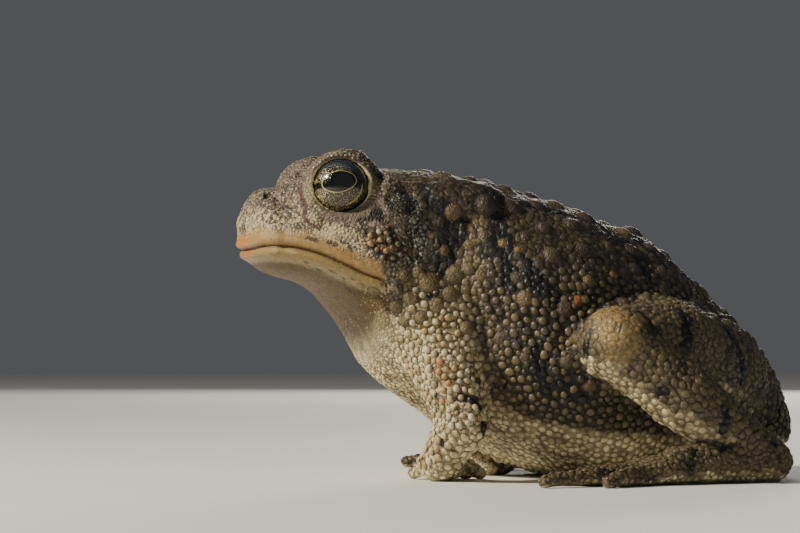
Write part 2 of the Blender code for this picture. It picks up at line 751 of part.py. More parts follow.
def centre_on_floor(toad):
    """Moves every part together so that the toad's box is centred over the origin, at Z = 0."""
    corners = np.array([v.co for part in toad.objects for v in part.data.vertices])
    low, high = corners.min(axis=0), corners.max(axis=0)
    shift = Matrix.Translation((-(low[0] + high[0]) / 2, -(low[1] + high[1]) / 2, -low[2]))
    for part in toad.objects:
        part.data.transform(shift)
    print("centred by", [round(v / MM, 3) for v in shift.translation])


def side_box(low, high, side):
    """Box round a part of one side, from the box of the left one. Right arms stand further back."""
    if side == -1:
        return low, high
    return (low[0], -high[1], low[2]), (high[0] + ARM_BACK, -low[1], high[2])


def main():
    for old in list(bpy.data.objects):
        bpy.data.objects.remove(old)
    toad = bpy.data.collections.new("american_toad")
    workshop = bpy.data.collections.new("workshop")
    for collection in (toad, workshop):
        bpy.context.scene.collection.children.link(collection)
    tan = material("skin_tan", SKIN_TAN, 0.6)
    pale = material("skin_pale", SKIN_PALE, 0.55)
    dark = material("skin_dark", SKIN_DARK, 0.5)
    eye_finish = material("eye", EYE_DARK, 0.1)
    finishes = {"lower_jaw": pale, "parotoid": dark, "ear": dark}
    rng = np.random.default_rng(SEED)
    middle_warts = {"torso": trunk_warts(rng), "head": head_warts(rng)}

    for name, (group, cuts, low, high, step, triangles) in NODES.items():
        mesh = polygonise(name, node_distance(group, cuts), low, high, step)
        mesh = thinned(largest_body(mesh), triangles, workshop)
        if name == "head":
            sockets = [eye_ball(side, SOCKET_GAP, "socket", workshop) for side in (-1, 1)]
            mesh = combine(mesh, sockets, "DIFFERENCE", workshop)
            mesh = combine(mesh, [nostril_pit(side, workshop) for side in (-1, 1)], "DIFFERENCE", workshop)
        mesh = grow_warts(mesh, middle_warts.get(name, []), group, cuts, workshop)
        finish_node(name, mesh, finishes.get(name, tan), toad)

    # The arms stand differently, so each is made on its own. The other parts of the right are mirrored.
    for name, (group, cuts, low, high, step, triangles) in PAIRED_NODES.items():
        own_arm = group == "arm"
        plain = None
        for word, side in (("left", -1), ("right", 1)):
            mirror = side == 1 and not own_arm
            if not mirror:
                side_cuts = cuts + [(side_cut, -side)]
                box_low, box_high = side_box(low, high, side)
                plain = polygonise(name, node_distance(group, side_cuts), box_low, box_high, step)
                plain = thinned(largest_body(plain), triangles, workshop)
            mesh = plain.copy()
            if mirror:
                mesh.transform(Matrix.Diagonal((1.0, -1.0, 1.0, 1.0)))
                mesh.flip_normals()
            mesh = grow_warts(mesh, paired_warts(name, side, rng), group, cuts, workshop)
            finish_node(f"{name}_{word}", mesh, finishes.get(name, tan), toad)

    for word, side in (("left", -1), ("right", 1)):
        eye = eye_ball(side, 0.0, "eye_form", workshop)
        finish_node(f"eye_{word}", eye.data.copy(), eye_finish, toad)
        bpy.data.objects.remove(eye)
    centre_on_floor(toad)


if __name__ == "__main__":
    main()
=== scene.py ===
"""American toad, life size, sitting with its head raised: skin, warts, eyes and stage.

The toad faces -X, its left side is at -Y and it rests on the floor at Z = 0. Forms are worked out in
millimetres in the toad's own frame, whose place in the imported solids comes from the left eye, and are
scaled to metres when a mesh is made. One skin follows the same field as the solids, with finer lids,
lips, nostrils, folds and warts. Beads and granules sit on it as small domes, and each carries the
markings of the skin at its root.
"""

import math

import bmesh
import bpy
import numpy as np
import openvdb
from bpy.props import FloatProperty, FloatVectorProperty, IntProperty, PointerProperty
from mathutils import Matrix, Vector
from mathutils.kdtree import KDTree


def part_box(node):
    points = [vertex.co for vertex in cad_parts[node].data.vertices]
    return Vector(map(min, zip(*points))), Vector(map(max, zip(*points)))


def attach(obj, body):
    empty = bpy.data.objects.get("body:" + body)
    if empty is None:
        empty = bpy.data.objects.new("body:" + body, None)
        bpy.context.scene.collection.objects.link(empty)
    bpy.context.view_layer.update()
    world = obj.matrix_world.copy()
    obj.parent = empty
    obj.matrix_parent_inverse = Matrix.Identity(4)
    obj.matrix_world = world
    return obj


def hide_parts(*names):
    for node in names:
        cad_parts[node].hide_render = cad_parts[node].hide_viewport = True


bl_info = {
    "name": "American Toad",
    "version": (1, 0, 0),
    "blender": (4, 5, 0),
    "location": "3D View > Sidebar > Toad",
    "description": "Skin, warts, eyes and stage of a life-size toad, built round its packed solids",
    "category": "Add Mesh",
}

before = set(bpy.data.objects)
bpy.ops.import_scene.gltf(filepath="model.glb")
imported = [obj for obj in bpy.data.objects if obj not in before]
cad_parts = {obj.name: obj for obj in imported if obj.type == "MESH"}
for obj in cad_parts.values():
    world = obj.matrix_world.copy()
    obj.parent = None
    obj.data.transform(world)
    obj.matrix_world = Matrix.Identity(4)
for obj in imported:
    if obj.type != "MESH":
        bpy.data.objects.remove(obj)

MM = 0.001

# Outline of the trunk and head. Each line is (x, value) from the snout to the rump.
NOSE_X = -36.0
SNOUT_TIP_X = -40.4
CHIN_TIP_X = -38.8
RUMP_X = 38.0
VENT_X = 46.0
BACK = [
    (-36, 43.0), (-33.5, 43.7), (-30, 45.0), (-26, 45.9), (-20, 46.1), (-14, 45.8), (-8, 45.1),
    (-3, 44.3), (3, 42.6), (10, 40.6), (15.5, 38.4), (20.5, 37.1), (24, 35.1), (28, 31.6), (32, 28.0),
    (38, 22.3),
]
BELLY = [
    (-36, 30.6), (-34, 29.9), (-31, 29.1), (-28, 27.5), (-25, 24.0), (-22.6, 20.2), (-21, 16.9),
    (-19, 14.9), (-15.3, 12.1), (-10, 8.6), (-3, 4.4), (3, 1.6), (9, -0.2), (13, -0.9), (27, -0.9),
    (31, -0.3), (38, 3.2),
]
WIDEST_AT = [
    (-41, 35.3), (-37, 34.4), (-34, 33.5), (-28, 31.8), (-22, 29.8), (-17, 27.0), (-10, 23.0),
    (-2, 19.5), (8, 16.5), (20, 14.0), (30, 12.0), (38, 9.6), (46, 7.5),
]
HALF_WIDTH = [
    (-36, 10.7), (-34, 11.9), (-31, 13.3), (-27, 14.8), (-22, 16.0), (-17, 16.0), (-12, 16.6),
    (-6, 19.0), (1, 21.8), (7, 22.3), (14, 20.8), (22, 17.8), (30, 15.0), (38, 11.8),
]
SHAPE_CHANGE = 6.0
SQUARE_TOP = [(-36, 1.9), (-28, 2.3), (-20, 2.7), (-10, 2.6), (0, 2.3), (20, 2.1), (32, 1.9), (38, 1.6)]
SQUARE_BOTTOM = [(-36, 2.2), (-28, 2.0), (-20, 1.8), (-10, 1.9), (5, 2.3), (14, 2.7), (28, 2.6), (38, 2.0)]

# Line of the mouth seen from the side, the lips that swell out above and below it, and the hollow under
# them
MOUTH = [
    (-42, 33.2), (-39.6, 33.7), (-38.2, 34.2), (-35.5, 34.1), (-32, 33.3), (-29.5, 32.3), (-27, 31.1),
    (-24.5, 29.9), (-21.5, 29.1), (-14, 28.6),
]
MOUTH_END_X, MOUTH_FADE = -21.8, 2.0
LIP_SWELL = 0.45
LIP_OFFSET, LIP_SPREAD = 1.05, 0.75
LIP_HOLLOW, HOLLOW_OFFSET = 0.22, 2.3
GROOVE_DEPTH, GROOVE_SPREAD = 0.6, 0.26

# Plane behind the jaws
NECK_POINT = (-17.5, 0.0, 33.0)
NECK_NORMAL = (0.99, 0.0, -0.14)

# The eyes, on the +Y side: ball, bulge of the lids round it, brow, and the roll along the edge of the lids
EYE_CENTRE = (-27.2, 9.5, 42.75)
EYE_RADIUS = 4.5
EYE_AXIS = (-0.18, 0.97, 0.13)
PUPIL_AXIS = (-0.27, 0.945, 0.17)
ORBIT_RADIUS = 5.5
ORBIT_SINK = 0.4
BROW, BROW_R = [(-26.6, 9.3, 47.5), (-24.5, 9.1, 47.2), (-22.7, 8.9, 45.9)], 0.9
SOCKET_RADIUS = 4.56
LID_OPENING = 4.12
LID_SQUASH = 0.89
LID_EDGE_ALONG = 2.05
LID_EDGE_RADIUS = 0.28
LID_BEVEL, LID_SLOPE = 0.18, 0.75
NOSTRIL = (-37.0, 5.0, 41.4)
NOSTRIL_RADIUS, NOSTRIL_LIFT = 0.6, 0.1
SNOUT_TIP = (-39.9, 2.2, 34.3)

# Bony crests of the head on the +Y side: start, end, radius, and lift of the middle off the skull
CRESTS = [
    ((-33.2, 6.6, 42.8), (-36.8, 4.6, 42.0), 0.75, -0.35),
    ((-33.2, 6.6, 42.8), (-30.4, 5.3, 45.0), 0.9, 0.2),
    ((-30.4, 5.3, 45.0), (-22.9, 5.4, 46.0), 1.0, 0.3),
    ((-22.9, 5.4, 46.0), (-20.4, 12.0, 43.6), 1.0, 0.3),
    ((-20.4, 12.0, 43.6), (-16.2, 11.9, 42.8), 0.85, 0.15),
    ((-33.0, 7.2, 42.2), (-31.3, 11.6, 37.6), 0.75, -0.2),
]
EAR_CENTRE = (-19.0, 13.4, 40.2)
EAR_SINK = 0.8
EAR_SIZE = (2.8, 2.6, 1.6)
EAR_RIM = 0.42
EAR_RIM_LIFT = -0.12

# Parotoid gland behind the crests: middle, half sizes and depth of its middle in the skin
PAROTOID_CENTRE = (-10.2, 12.4, 41.6)
PAROTOID_SIZE = (7.4, 3.5, 2.7)
PAROTOID_SINK = 0.5

# Limb joints on the +Y side, each with the radius of its flesh, and how far back the right arm stands
SHOULDER, SHOULDER_R = (-14.0, 10.5, 24.5), 6.4
ELBOW, ELBOW_R = (-11.0, 18.8, 8.6), 3.3
FOREARM_MID, FOREARM_R = (-11.8, 16.8, 6.6), 3.3
WRIST, WRIST_R = (-12.4, 14.4, 4.6), 2.8
PALM, PALM_SIZE = (-12.8, 12.6, 2.4), (3.1, 3.4, 2.4)
ARM_BACK = 9.5
SHOULDER_BACK = 2.0
HIP, HIP_R = (30.0, 8.5, 14.6), 9.0
THIGH_MID, THIGH_R = (20.0, 18.0, 18.6), 8.0
KNEE, KNEE_R = (9.5, 26.3, 20.1), 5.2
SHANK_TOP_R = 0.9 * KNEE_R
CALF, CALF_R = (19.0, 28.4, 12.2), 4.8
HEEL, HEEL_R = (32.5, 27.0, 3.1), 3.2
INSTEP, INSTEP_R = (17.0, 31.0, 2.7), 2.7
SOLE, SOLE_SIZE = (13.8, 31.6, 2.0), (4.4, 3.5, 2.1)
WEB_SIZE = (6.2, 5.4, 0.7)
WEB_REACH = 6.5
WEB_SINK = 0.05
SPUR, SPUR_SIZE = (16.6, 29.0, 0.9), (1.7, 1.0, 1.0)

# Digits as heading in degrees from -X and length. A hand turns to the midline and a foot away from it.
FINGERS = [(162, 4.4), (134, 5.6), (106, 7.2), (76, 5.4)]
TOES = [(-40, 4.6), (-18, 7.2), (0, 11.0), (16, 16.5), (38, 10.0)]
FINGER_ROOT, TOE_ROOT = 2.4, 2.6
FINGER_ARCH, TOE_ARCH = 0.72, 0.63
DIGIT_R, DIGIT_TIP_R = 1.15, 0.95
DIGIT_ROOT_R, DIGIT_KNUCKLE_R = 1.265, 1.09
DIGIT_ROOT_Z, DIGIT_TIP_Z = 1.65, 0.83

# Fillet radii where one form flows into the next
BLEND_BONE = 1.1
BLEND_ORBIT = 1.8
BLEND_GLAND = 1.5
BLEND_EAR = 0.4
BLEND_ARM = 3.0
BLEND_LEG = 3.2
BLEND_FOLD = 1.0
BLEND_DIGIT = 0.9
BLEND_LID = 0.3

FAR = 30.0
SLOPE_STEP = 0.05
SEATING_ROUNDS = 6
TINY = 1e-9

# Space that is sampled for the skin, how many samples at a time, and how the head keeps finer triangles
FIELD_LOW, FIELD_HIGH = (-43.0, -45.5, -1.0), (49.0, 45.5, 51.5)
BLOCK, BLOCK_REACH = 4, 1.35
BATCH = 300000
HEAD_MARGIN, HEAD_WEIGHT, HEAD_CARE = 2.0, 0.5, 0.01

# Folds of the skin on the +Y side: path, half width and depth
FOLDS = [
    ([(-21.7, 16.0, 32.4), (-21.8, 16.2, 29.9), (-21.9, 15.5, 27.2), (-20.8, 14.0, 23.6)], 0.35, 0.32),
    ([(-18.0, 15.1, 36.8), (-18.1, 15.9, 31.8), (-18.2, 16.4, 26.3)], 0.32, 0.25),
    ([(-15.6, 15.9, 36.2), (-15.3, 16.6, 32.6)], 0.32, 0.2),
    ([(-31.6, 11.6, 39.8), (-31.4, 12.0, 39.0), (-29.6, 12.9, 38.1), (-27.5, 13.7, 37.8),
      (-25.2, 14.1, 38.9)], 0.3, 0.3),
    ([(-30.4, 12.9, 37.4), (-28.4, 13.7, 36.9), (-26.2, 14.3, 37.1)], 0.3, 0.18),
    ([(-33.0, 8.0, 42.8), (-32.9, 9.5, 41.2), (-32.6, 10.8, 39.7), (-32.3, 12.2, 37.3)], 0.3, 0.22),
    ([(-8.6, 17.4, 26.0), (-7.6, 18.6, 21.0), (-8.0, 18.4, 16.0)], 0.7, 0.5),
    ([(-2.0, 20.8, 24.0), (0.0, 21.6, 17.0), (3.0, 21.0, 10.0)], 0.8, 0.35),
    ([(8.0, 21.6, 27.0), (16.0, 18.8, 29.0), (25.0, 14.0, 27.0)], 0.9, 0.4),
]
UNEVEN, UNEVEN_FROM, UNEVEN_TO = 0.16, -12.0, 2.0
FOLD_STOP, FOLD_START = 0.2, 1.2

# Large warts: the same rows as those of the solids, and more as x, y, z and radius on the +Y side
SEED = 7
WART_RISE = 0.38
WART_RADII, WART_SHRINK = (1.25, 1.95), 0.35
WART_JITTER, WART_TURN_JITTER = 0.9, 3.5
WART_CLEARANCE = 1.6
WART_POWER = 1.4
MOAT_DEPTH, MOAT_AT, MOAT_SPREAD = 0.1, 1.12, 0.16
WART_REACH, WART_MARGIN = 1.4, 1.0
WART_FADE = 1.2
WART_SKIRT = 1.25
TORSO_ROWS = (-11.0, 42.0, 4.6)
TORSO_TURN, TORSO_SPACING = 96, 16
OWN_WARTS = [
    (-19.2, 16.0, 29.9, 0.95), (-17.2, 16.2, 30.3, 1.0), (-15.6, 16.5, 28.9, 1.6),
    (-11.9, 16.6, 30.0, 1.35), (-12.6, 17.1, 27.2, 1.3), (-14.8, 17.4, 25.6, 1.2),
    (-18.3, 16.2, 26.6, 1.15), (-9.8, 16.8, 30.9, 1.0), (-8.2, 17.5, 29.9, 0.9),
    (-10.4, 17.3, 27.9, 0.85), (-20.4, 15.4, 25.4, 1.0), (-17.0, 16.9, 23.8, 1.0),
    (-18.0, 15.9, 33.2, 0.8), (-13.2, 16.2, 33.6, 0.8), (-9.6, 16.2, 34.4, 0.85),
    (-7.4, 16.6, 36.2, 0.75), (-1.2, 17.4, 36.0, 0.9), (-3.0, 18.9, 29.6, 0.95), (0.2, 19.4, 31.6, 0.8),
    (5.9, 20.4, 28.4, 0.8), (5.5, 21.1, 26.2, 0.95), (14.3, 16.5, 30.4, 1.2), (12.0, 17.8, 30.1, 0.8),
    (16.8, 16.0, 29.3, 0.85), (-2.4, 19.0, 31.4, 0.75), (-4.8, 17.2, 34.7, 0.75),
    (-2.7, 18.1, 33.6, 0.6), (20.6, 2.2, 37.6, 1.9), (17.6, 6.4, 37.0, 1.5), (-23.5, 14.8, 27.5, 1.0),
    (-25.3, 14.3, 28.4, 0.6), (-19.1, 15.3, 23.2, 0.9),
]
CHEEK_WARTS = [
    (-23.8, 15.3, 36.3, 0.62), (-22.6, 15.6, 35.7, 0.4), (-23.7, 15.6, 34.9, 0.5),
    (-25.2, 15.0, 35.6, 0.42), (-22.4, 15.9, 33.9, 0.56), (-21.2, 15.9, 33.8, 0.58),
    (-24.9, 15.3, 34.1, 0.38), (-15.0, 15.2, 35.7, 0.45),
]

# Black marks on the +Y side, each as points along it with the half width there
BLOTCHES = [
    [(-15.2, 12.1, 43.4, 0.44), (-14.8, 14.0, 41.2, 0.73), (-13.3, 14.5, 39.9, 1.3),
     (-11.2, 14.7, 38.9, 1.3), (-11.7, 15.1, 36.3, 2.0), (-12.6, 15.8, 33.3, 1.6),
     (-13.9, 16.1, 31.0, 1.0), (-15.0, 16.8, 27.8, 0.7), (-15.8, 17.1, 25.2, 0.4)],
    [(-11.7, 14.6, 38.9, 1.0), (-9.6, 14.8, 37.8, 0.7)],
    [(-4.3, 13.0, 42.3, 1.0), (-4.8, 14.7, 38.8, 1.2), (-4.9, 16.8, 35.4, 1.5), (-4.0, 18.0, 33.0, 1.5),
     (-1.9, 19.4, 30.7, 1.7), (0.7, 20.7, 28.1, 1.7), (2.2, 21.2, 26.2, 1.3)],
    [(-4.1, 18.1, 32.8, 1.2), (-4.5, 19.1, 28.4, 1.3)],
    [(-1.1, 21.2, 19.8, 1.15), (-0.6, 21.0, 15.6, 1.3)],
    [(0.5, 20.9, 13.6, 1.3), (5.5, 21.9, 13.2, 1.6), (8.7, 24.9, 14.5, 1.5)],
    [(0.2, 11.6, 40.7, 0.9), (4.2, 11.0, 39.8, 1.2), (8.5, 9.3, 39.4, 1.3), (11.4, 8.9, 38.4, 0.9)],
    [(14.3, 10.5, 36.1, 1.2), (16.6, 11.2, 34.6, 1.9), (18.0, 13.2, 32.2, 1.8), (18.2, 14.9, 30.0, 0.9)],
    [(-25.9, 14.2, 37.8, 0.14), (-24.3, 14.5, 38.3, 0.5), (-22.9, 14.5, 39.1, 0.8),
     (-22.4, 14.9, 38.2, 0.58)],
    [(-21.8, 10.8, 44.8, 0.3), (-21.5, 12.1, 43.9, 0.36)],
    [(-21.1, 15.4, 36.6, 0.36), (-20.5, 15.7, 35.0, 0.58), (-19.8, 15.8, 33.6, 0.43)],
    [(-24.1, 15.6, 34.0, 0.43), (-23.1, 15.8, 33.0, 0.58), (-22.0, 15.9, 33.3, 0.3)],
    [(-22.0, 16.0, 32.5, 0.36), (-20.3, 16.0, 31.8, 0.43)],
    [(-22.9, 15.6, 35.3, 0.43), (-22.7, 15.8, 34.0, 0.3)],
    [(-19.2, 14.6, 40.0, 0.3), (-18.1, 14.8, 38.7, 0.36)],
    [(-12.3, 21.0, 12.2, 0.7), (-9.6, 20.8, 11.6, 1.0)],
    [(-13.2, 20.0, 15.1, 0.43), (-9.1, 19.1, 14.6, 0.7)],
    [(-14.5, 18.6, 5.9, 0.58), (-12.4, 19.2, 4.4, 0.58)],
    [(-8.9, 21.7, 8.5, 0.57), (-8.6, 20.6, 5.4, 0.6)],
    [(12.7, 27.5, 24.6, 0.7), (14.4, 29.2, 22.0, 0.86)],
    [(4.9, 28.1, 22.0, 0.57), (4.5, 27.6, 19.1, 0.7)],
    [(-27.2, 2.4, 46.0, 0.7), (-24.2, 4.2, 46.2, 0.9), (-25.4, 7.0, 46.8, 0.6)],
    [(-13.6, 4.2, 45.9, 1.1), (-11.4, 5.0, 45.6, 0.9)],
    [(-3.6, 4.8, 44.5, 1.3), (-1.0, 6.0, 43.6, 1.0)],
    [(24.0, 4.6, 35.4, 1.4), (27.0, 6.4, 32.4, 1.1)],
    [(34.0, 5.6, 26.0, 1.2), (38.0, 5.2, 21.0, 1.0)],
    [(26.0, 14.0, 27.0, 1.2), (30.0, 13.0, 24.0, 1.0)],
    [(21.0, 23.6, 25.0, 1.2), (20.0, 27.4, 19.5, 1.3)],
    [(30.0, 17.6, 22.4, 1.2), (32.0, 18.6, 15.0, 1.2)],
    [(14.2, 32.4, 13.4, 1.0), (12.6, 33.0, 7.0, 1.1)],
    [(24.0, 31.6, 10.4, 1.0), (23.6, 31.8, 5.6, 1.0)],
    [(31.6, 29.4, 5.4, 0.9), (33.6, 28.6, 2.6, 0.8)],
    [(19.0, 32.6, 4.6, 0.8), (18.0, 33.2, 2.6, 0.7)],
    [(18.5, 6.0, 36.2, 1.7), (21.5, 8.5, 33.8, 2.0)],
]
STRAY = 0.7

# Patch of coloured warts behind the eye, in the same form
CHEEK = [[(-23.8, 15.2, 35.4, 1.4), (-20.8, 15.8, 33.6, 1.6)]]

# Light ground between the black marks on the +Y side, in the same form
LIGHTS = [
    [(-8.4, 14.8, 41.0, 1.1), (-8.2, 16.3, 35.1, 1.3), (-9.7, 17.1, 29.3, 1.7),
     (-10.8, 17.7, 23.4, 1.7)],
    [(-14.2, 17.2, 26.3, 1.7), (-13.0, 18.1, 22.0, 1.7)],
    [(-18.7, 16.0, 31.0, 1.3), (-17.6, 16.4, 27.8, 1.4), (-18.1, 16.1, 23.4, 1.4)],
    [(-5.7, 19.1, 22.0, 1.4), (-4.2, 16.5, 11.8, 1.7)],
]

# Whitish granules on the face, and the smooth tan front of the thigh, in the same form
CHALK = [
    [(-28.9, 13.7, 36.4, 0.8), (-26.7, 14.6, 35.8, 0.9)],
    [(-32.5, 9.6, 42.4, 0.6), (-32.0, 11.2, 40.3, 0.6), (-31.3, 12.5, 38.4, 0.5)],
    [(-39.6, 4.0, 38.0, 0.9), (-38.2, 7.6, 36.8, 0.7), (-36.2, 10.0, 36.6, 0.6)],
]
THIGH_FRONT = [
    [(7.3, 21.0, 26.4, 1.5), (7.6, 29.0, 23.4, 2.6), (8.3, 31.0, 18.6, 2.2), (13.0, 29.0, 24.0, 2.0)],
]

# Orange beads on the arm and warm warts on the +Y side, in the same form
EMBERS = [
    [(-14.4, 18.2, 17.4, 1.2), (-14.2, 19.0, 15.2, 1.5), (-14.0, 19.4, 12.4, 1.1)],
    [(5.5, 21.1, 26.4, 0.87)] * 2,
    [(12.0, 17.8, 30.1, 0.6)] * 2,
    [(-4.8, 17.2, 34.7, 0.44), (-2.7, 18.1, 33.6, 0.44)],
    [(-15.0, 15.2, 35.7, 0.4)] * 2,
    [(-22.4, 15.9, 33.9, 0.3), (-21.2, 15.9, 33.8, 0.3)],
]

# Grey-green skin behind the ear, cracked from top to bottom
CRACKED = [[(-17.6, 14.1, 40.2, 1.3), (-17.0, 15.2, 35.8, 1.7), (-18.1, 15.9, 31.8, 1.2)]]

# Thin dark lines on the +Y side: points and half width. The first, third and fourth run along folds of the
# skin, where they are partly painted shade in the crease.
LINES = [
    ([(-33.0, 8.0, 42.8), (-32.9, 9.5, 41.2), (-32.6, 10.8, 39.7), (-33.1, 11.0, 38.4), (-32.3, 12.2, 37.3),
      (-31.4, 12.6, 36.8)], 0.42),
    ([(-21.9, 11.2, 44.5), (-18.9, 12.2, 43.8), (-16.2, 12.3, 43.4)], 0.3),
    ([(-21.7, 16.0, 32.4), (-21.8, 16.2, 29.9), (-21.9, 15.5, 27.2)], 0.17),
    ([(-18.0, 15.1, 36.8), (-18.1, 15.9, 31.8), (-18.2, 16.4, 26.3)], 0.2),
    ([(-36.4, 7.4, 42.0), (-34.4, 7.8, 42.2)], 0.5),
]
FLECK_LENGTH = 0.25
FLECKS = [
    (-33.0, 11.7, 31.7, 0.22), (-30.9, 11.2, 30.6, 0.34), (-29.5, 12.9, 30.5, 0.24),
    (-29.0, 13.0, 30.2, 0.2), (-34.2, 6.0, 30.4, 0.26), (-30.0, 6.2, 29.1, 0.26),
    (-28.3, 5.9, 28.1, 0.26), (-27.6, 12.9, 29.4, 0.18), (-26.5, 11.3, 27.8, 0.22),
    (-26.6, 14.3, 29.4, 0.16), (-32.9, 12.5, 35.3, 0.2), (-32.4, 12.7, 35.1, 0.22),
    (-31.7, 13.1, 34.9, 0.2), (-29.9, 13.7, 34.6, 0.22), (-29.2, 14.0, 34.3, 0.24),
    (-22.9, 12.5, 22.9, 0.3),
]

# Height of the edge of the pale belly along the trunk
PALE_EDGE = [
    (-42, 32.8), (-33, 31.0), (-25, 27.6), (-20, 23.6), (-14, 19.6), (-8, 13.6), (0, 9.0), (12, 7.0),
    (46, 6.0),
]

# Parts of the +Y side by place: each is a product of shares, as axis, where it is 0 and where it is 1
REGIONS = {
    "back": [(2, 31.0, 35.0)],
    "neck": [(0, -4.5, -8.5), (2, 41.0, 37.0)],
    # deep: the low belly, where the skin's finish paints shade on the pale skin
    "deep": [(0, -24.0, -20.0), (2, 27.0, 22.0)],
    "throat": [(0, -4.0, -9.0)],
    # flank: side of the trunk, whose skin is darkened partly as painted shade
    "flank": [(0, -9.0, -4.0), (2, 31.0, 26.0)],
}

# Marks given as points, whose distances the colours are read from
DRAWN = {
    "blotch": BLOTCHES,
    "light": LIGHTS,
    "ember": EMBERS,
    "chalk": CHALK,
    "cracked": CRACKED,
    "front": THIGH_FRONT,
    "fleck": [[fleck, (fleck[0] + FLECK_LENGTH, *fleck[1:])] for fleck in FLECKS],
}


def line(points, samples=600):
    """A smooth line through (x, value) points that never overshoots them, as a function of x."""
    xs, ys = np.array(points, float).T
    steps = np.diff(xs)
    slopes = np.diff(ys) / steps
    tangents = np.empty_like(ys)
    tangents[0], tangents[-1] = slopes[0], slopes[-1]
    before, after = slopes[:-1], slopes[1:]
    same_way = before * after > 0
    safe = np.where(same_way, before + after, 1.0)
    tangents[1:-1] = np.where(same_way, 2 * before * after / safe, 0.0)
    fine = np.linspace(xs[0], xs[-1], samples)
    i = np.clip(np.searchsorted(xs, fine) - 1, 0, len(steps) - 1)
    t = (fine - xs[i]) / steps[i]
    values = (
        ys[i] * (2 * t**3 - 3 * t**2 + 1)
        + ys[i + 1] * (3 * t**2 - 2 * t**3)
        + steps[i] * (tangents[i] * (t**3 - 2 * t**2 + t) + tangents[i + 1] * (t**3 - t**2))
    )
    return lambda x: np.interp(x, fine, values)


back_line, belly_line = line(BACK), line(BELLY)
widest_line, width_line = line(WIDEST_AT), line(HALF_WIDTH)
square_top_line, square_bottom_line = line(SQUARE_TOP), line(SQUARE_BOTTOM)
mouth_line, pale_line = line(MOUTH), line(PALE_EDGE)


def unit(v):
    v = np.array(v, float)
    return v / np.linalg.norm(v)


def mirrored(point, side):
    """A point or direction given on the +Y side, on the side asked for."""
    return (point[0], point[1] * side, point[2])


def both_sides(p):
    """Points with the -Y side mirrored onto the +Y side."""
    q = p.copy()
    q[:, 1] = np.abs(q[:, 1])
    return q


def blend(a, b, radius):
    """The smaller of two distances, with a fillet of about that radius where they meet."""
    h = np.clip(0.5 + 0.5 * (b - a) / radius, 0.0, 1.0)
    return b * (1 - h) + a * h - radius * h * (1 - h)


def carve(a, b, radius):
    """Distance a with the inside of distance b cut away, with a rounded edge."""
    return -blend(-a, b, radius)


def cone(p, start, end, r_start, r_end):
    """Distance to a limb segment that tapers from one ball to another."""
    start = np.array(start, float)
    along = np.array(end, float) - start
    t = np.clip((p - start) @ along / max(along @ along, TINY), 0.0, 1.0)
    return np.linalg.norm(p - start - t[:, None] * along, axis=1) - (r_start + (r_end - r_start) * t)


def strokes(p, paths):
    """Distance to the nearest of some paths, each a list of (x, y, z, half width)."""
    found = np.full(len(p), FAR)
    for path in paths:
        for a, b in zip(path[:-1], path[1:]):
            found = np.minimum(found, cone(p, a[:3], b[:3], a[3], b[3]))
    return found


def ellipsoid(p, centre, size, normal=None):
    """Distance, nearly, to an ellipsoid. With a normal, its third axis points that way."""
    q = p - np.array(centre, float)
    if normal is not None:
        third = unit(normal)
        first = unit(np.cross((0.0, 0.0, 1.0), third))
        q = q @ np.array([first, np.cross(third, first), third]).T
    size = np.array(size, float)
    outer = np.linalg.norm(q / size, axis=1)
    inner = np.linalg.norm(q / size**2, axis=1)
    return np.where(inner > TINY, outer * (outer - 1.0) / np.maximum(inner, TINY), -size.min())


def ring(p, centre, normal, radius, thickness):
    q = p - np.array(centre, float)
    height = q @ unit(normal)
    flat = np.sqrt(np.maximum((q**2).sum(1) - height**2, 0.0))
    return np.hypot(flat - radius, height) - thickness


def section_excess(p):
    """Below 0 inside the trunk and above 0 outside it, from the section at each x."""
    x = np.clip(p[:, 0], NOSE_X, RUMP_X)
    widest = widest_line(p[:, 0])
    middle = widest_line(x)
    height = np.where(p[:, 2] > widest, back_line(x) - middle, middle - belly_line(x))
    upper = np.clip(0.5 + (p[:, 2] - widest) / SHAPE_CHANGE, 0.0, 1.0)
    power = square_bottom_line(x) + upper * (square_top_line(x) - square_bottom_line(x))
    tip = CHIN_TIP_X + upper * (SNOUT_TIP_X - CHIN_TIP_X)
    past_nose = (NOSE_X - p[:, 0]) / (NOSE_X - tip)
    past_rump = (p[:, 0] - RUMP_X) / (VENT_X - RUMP_X)
    past = np.maximum(np.maximum(past_nose, past_rump), 0.0)
    total = (
        (np.abs(p[:, 1]) / width_line(x)) ** power
        + (np.abs(p[:, 2] - widest) / height) ** power
        + past**power
    )
    return total ** (1 / power) - 1.0


def trunk_core(p):
    here = section_excess(p)
    slope = np.sqrt(sum((section_excess(p + step) - here) ** 2 for step in np.eye(3) * SLOPE_STEP))
    return np.clip(here * SLOPE_STEP / np.maximum(slope, TINY), -FAR, FAR)


def slope_of(field, p):
    """Unit direction in which a field grows at each point."""
    slopes = np.stack([field(p + step) - field(p - step) for step in np.eye(3) * SLOPE_STEP], axis=1)
    return slopes / np.maximum(np.linalg.norm(slopes, axis=1, keepdims=True), TINY)


def seated(point, lift=0.0):
    """The point moved onto the plain trunk's surface, then out by lift, with the normal there."""
    p = np.array([point], float)
    for _ in range(SEATING_ROUNDS):
        p = p - slope_of(trunk_core, p) * trunk_core(p)[:, None]
    normal = slope_of(trunk_core, p)[0]
    return p[0] + normal * lift, normal


def bump(distance, spread):
    return np.exp(-((distance / spread) ** 2))


def lips(p):
    """How far the skin swells out along the lips, less the groove of the mouth between them."""
    height = p[:, 2] - mouth_line(p[:, 0])
    rolls = LIP_SWELL * (bump(height - LIP_OFFSET, LIP_SPREAD) + bump(height + LIP_OFFSET, LIP_SPREAD))
    rolls -= LIP_HOLLOW * bump(height + HOLLOW_OFFSET, LIP_SPREAD)
    fade = np.clip((MOUTH_END_X - p[:, 0]) / MOUTH_FADE + 0.5, 0.0, 1.0)
    return fade * (rolls - GROOVE_DEPTH * bump(height, GROOVE_SPREAD))


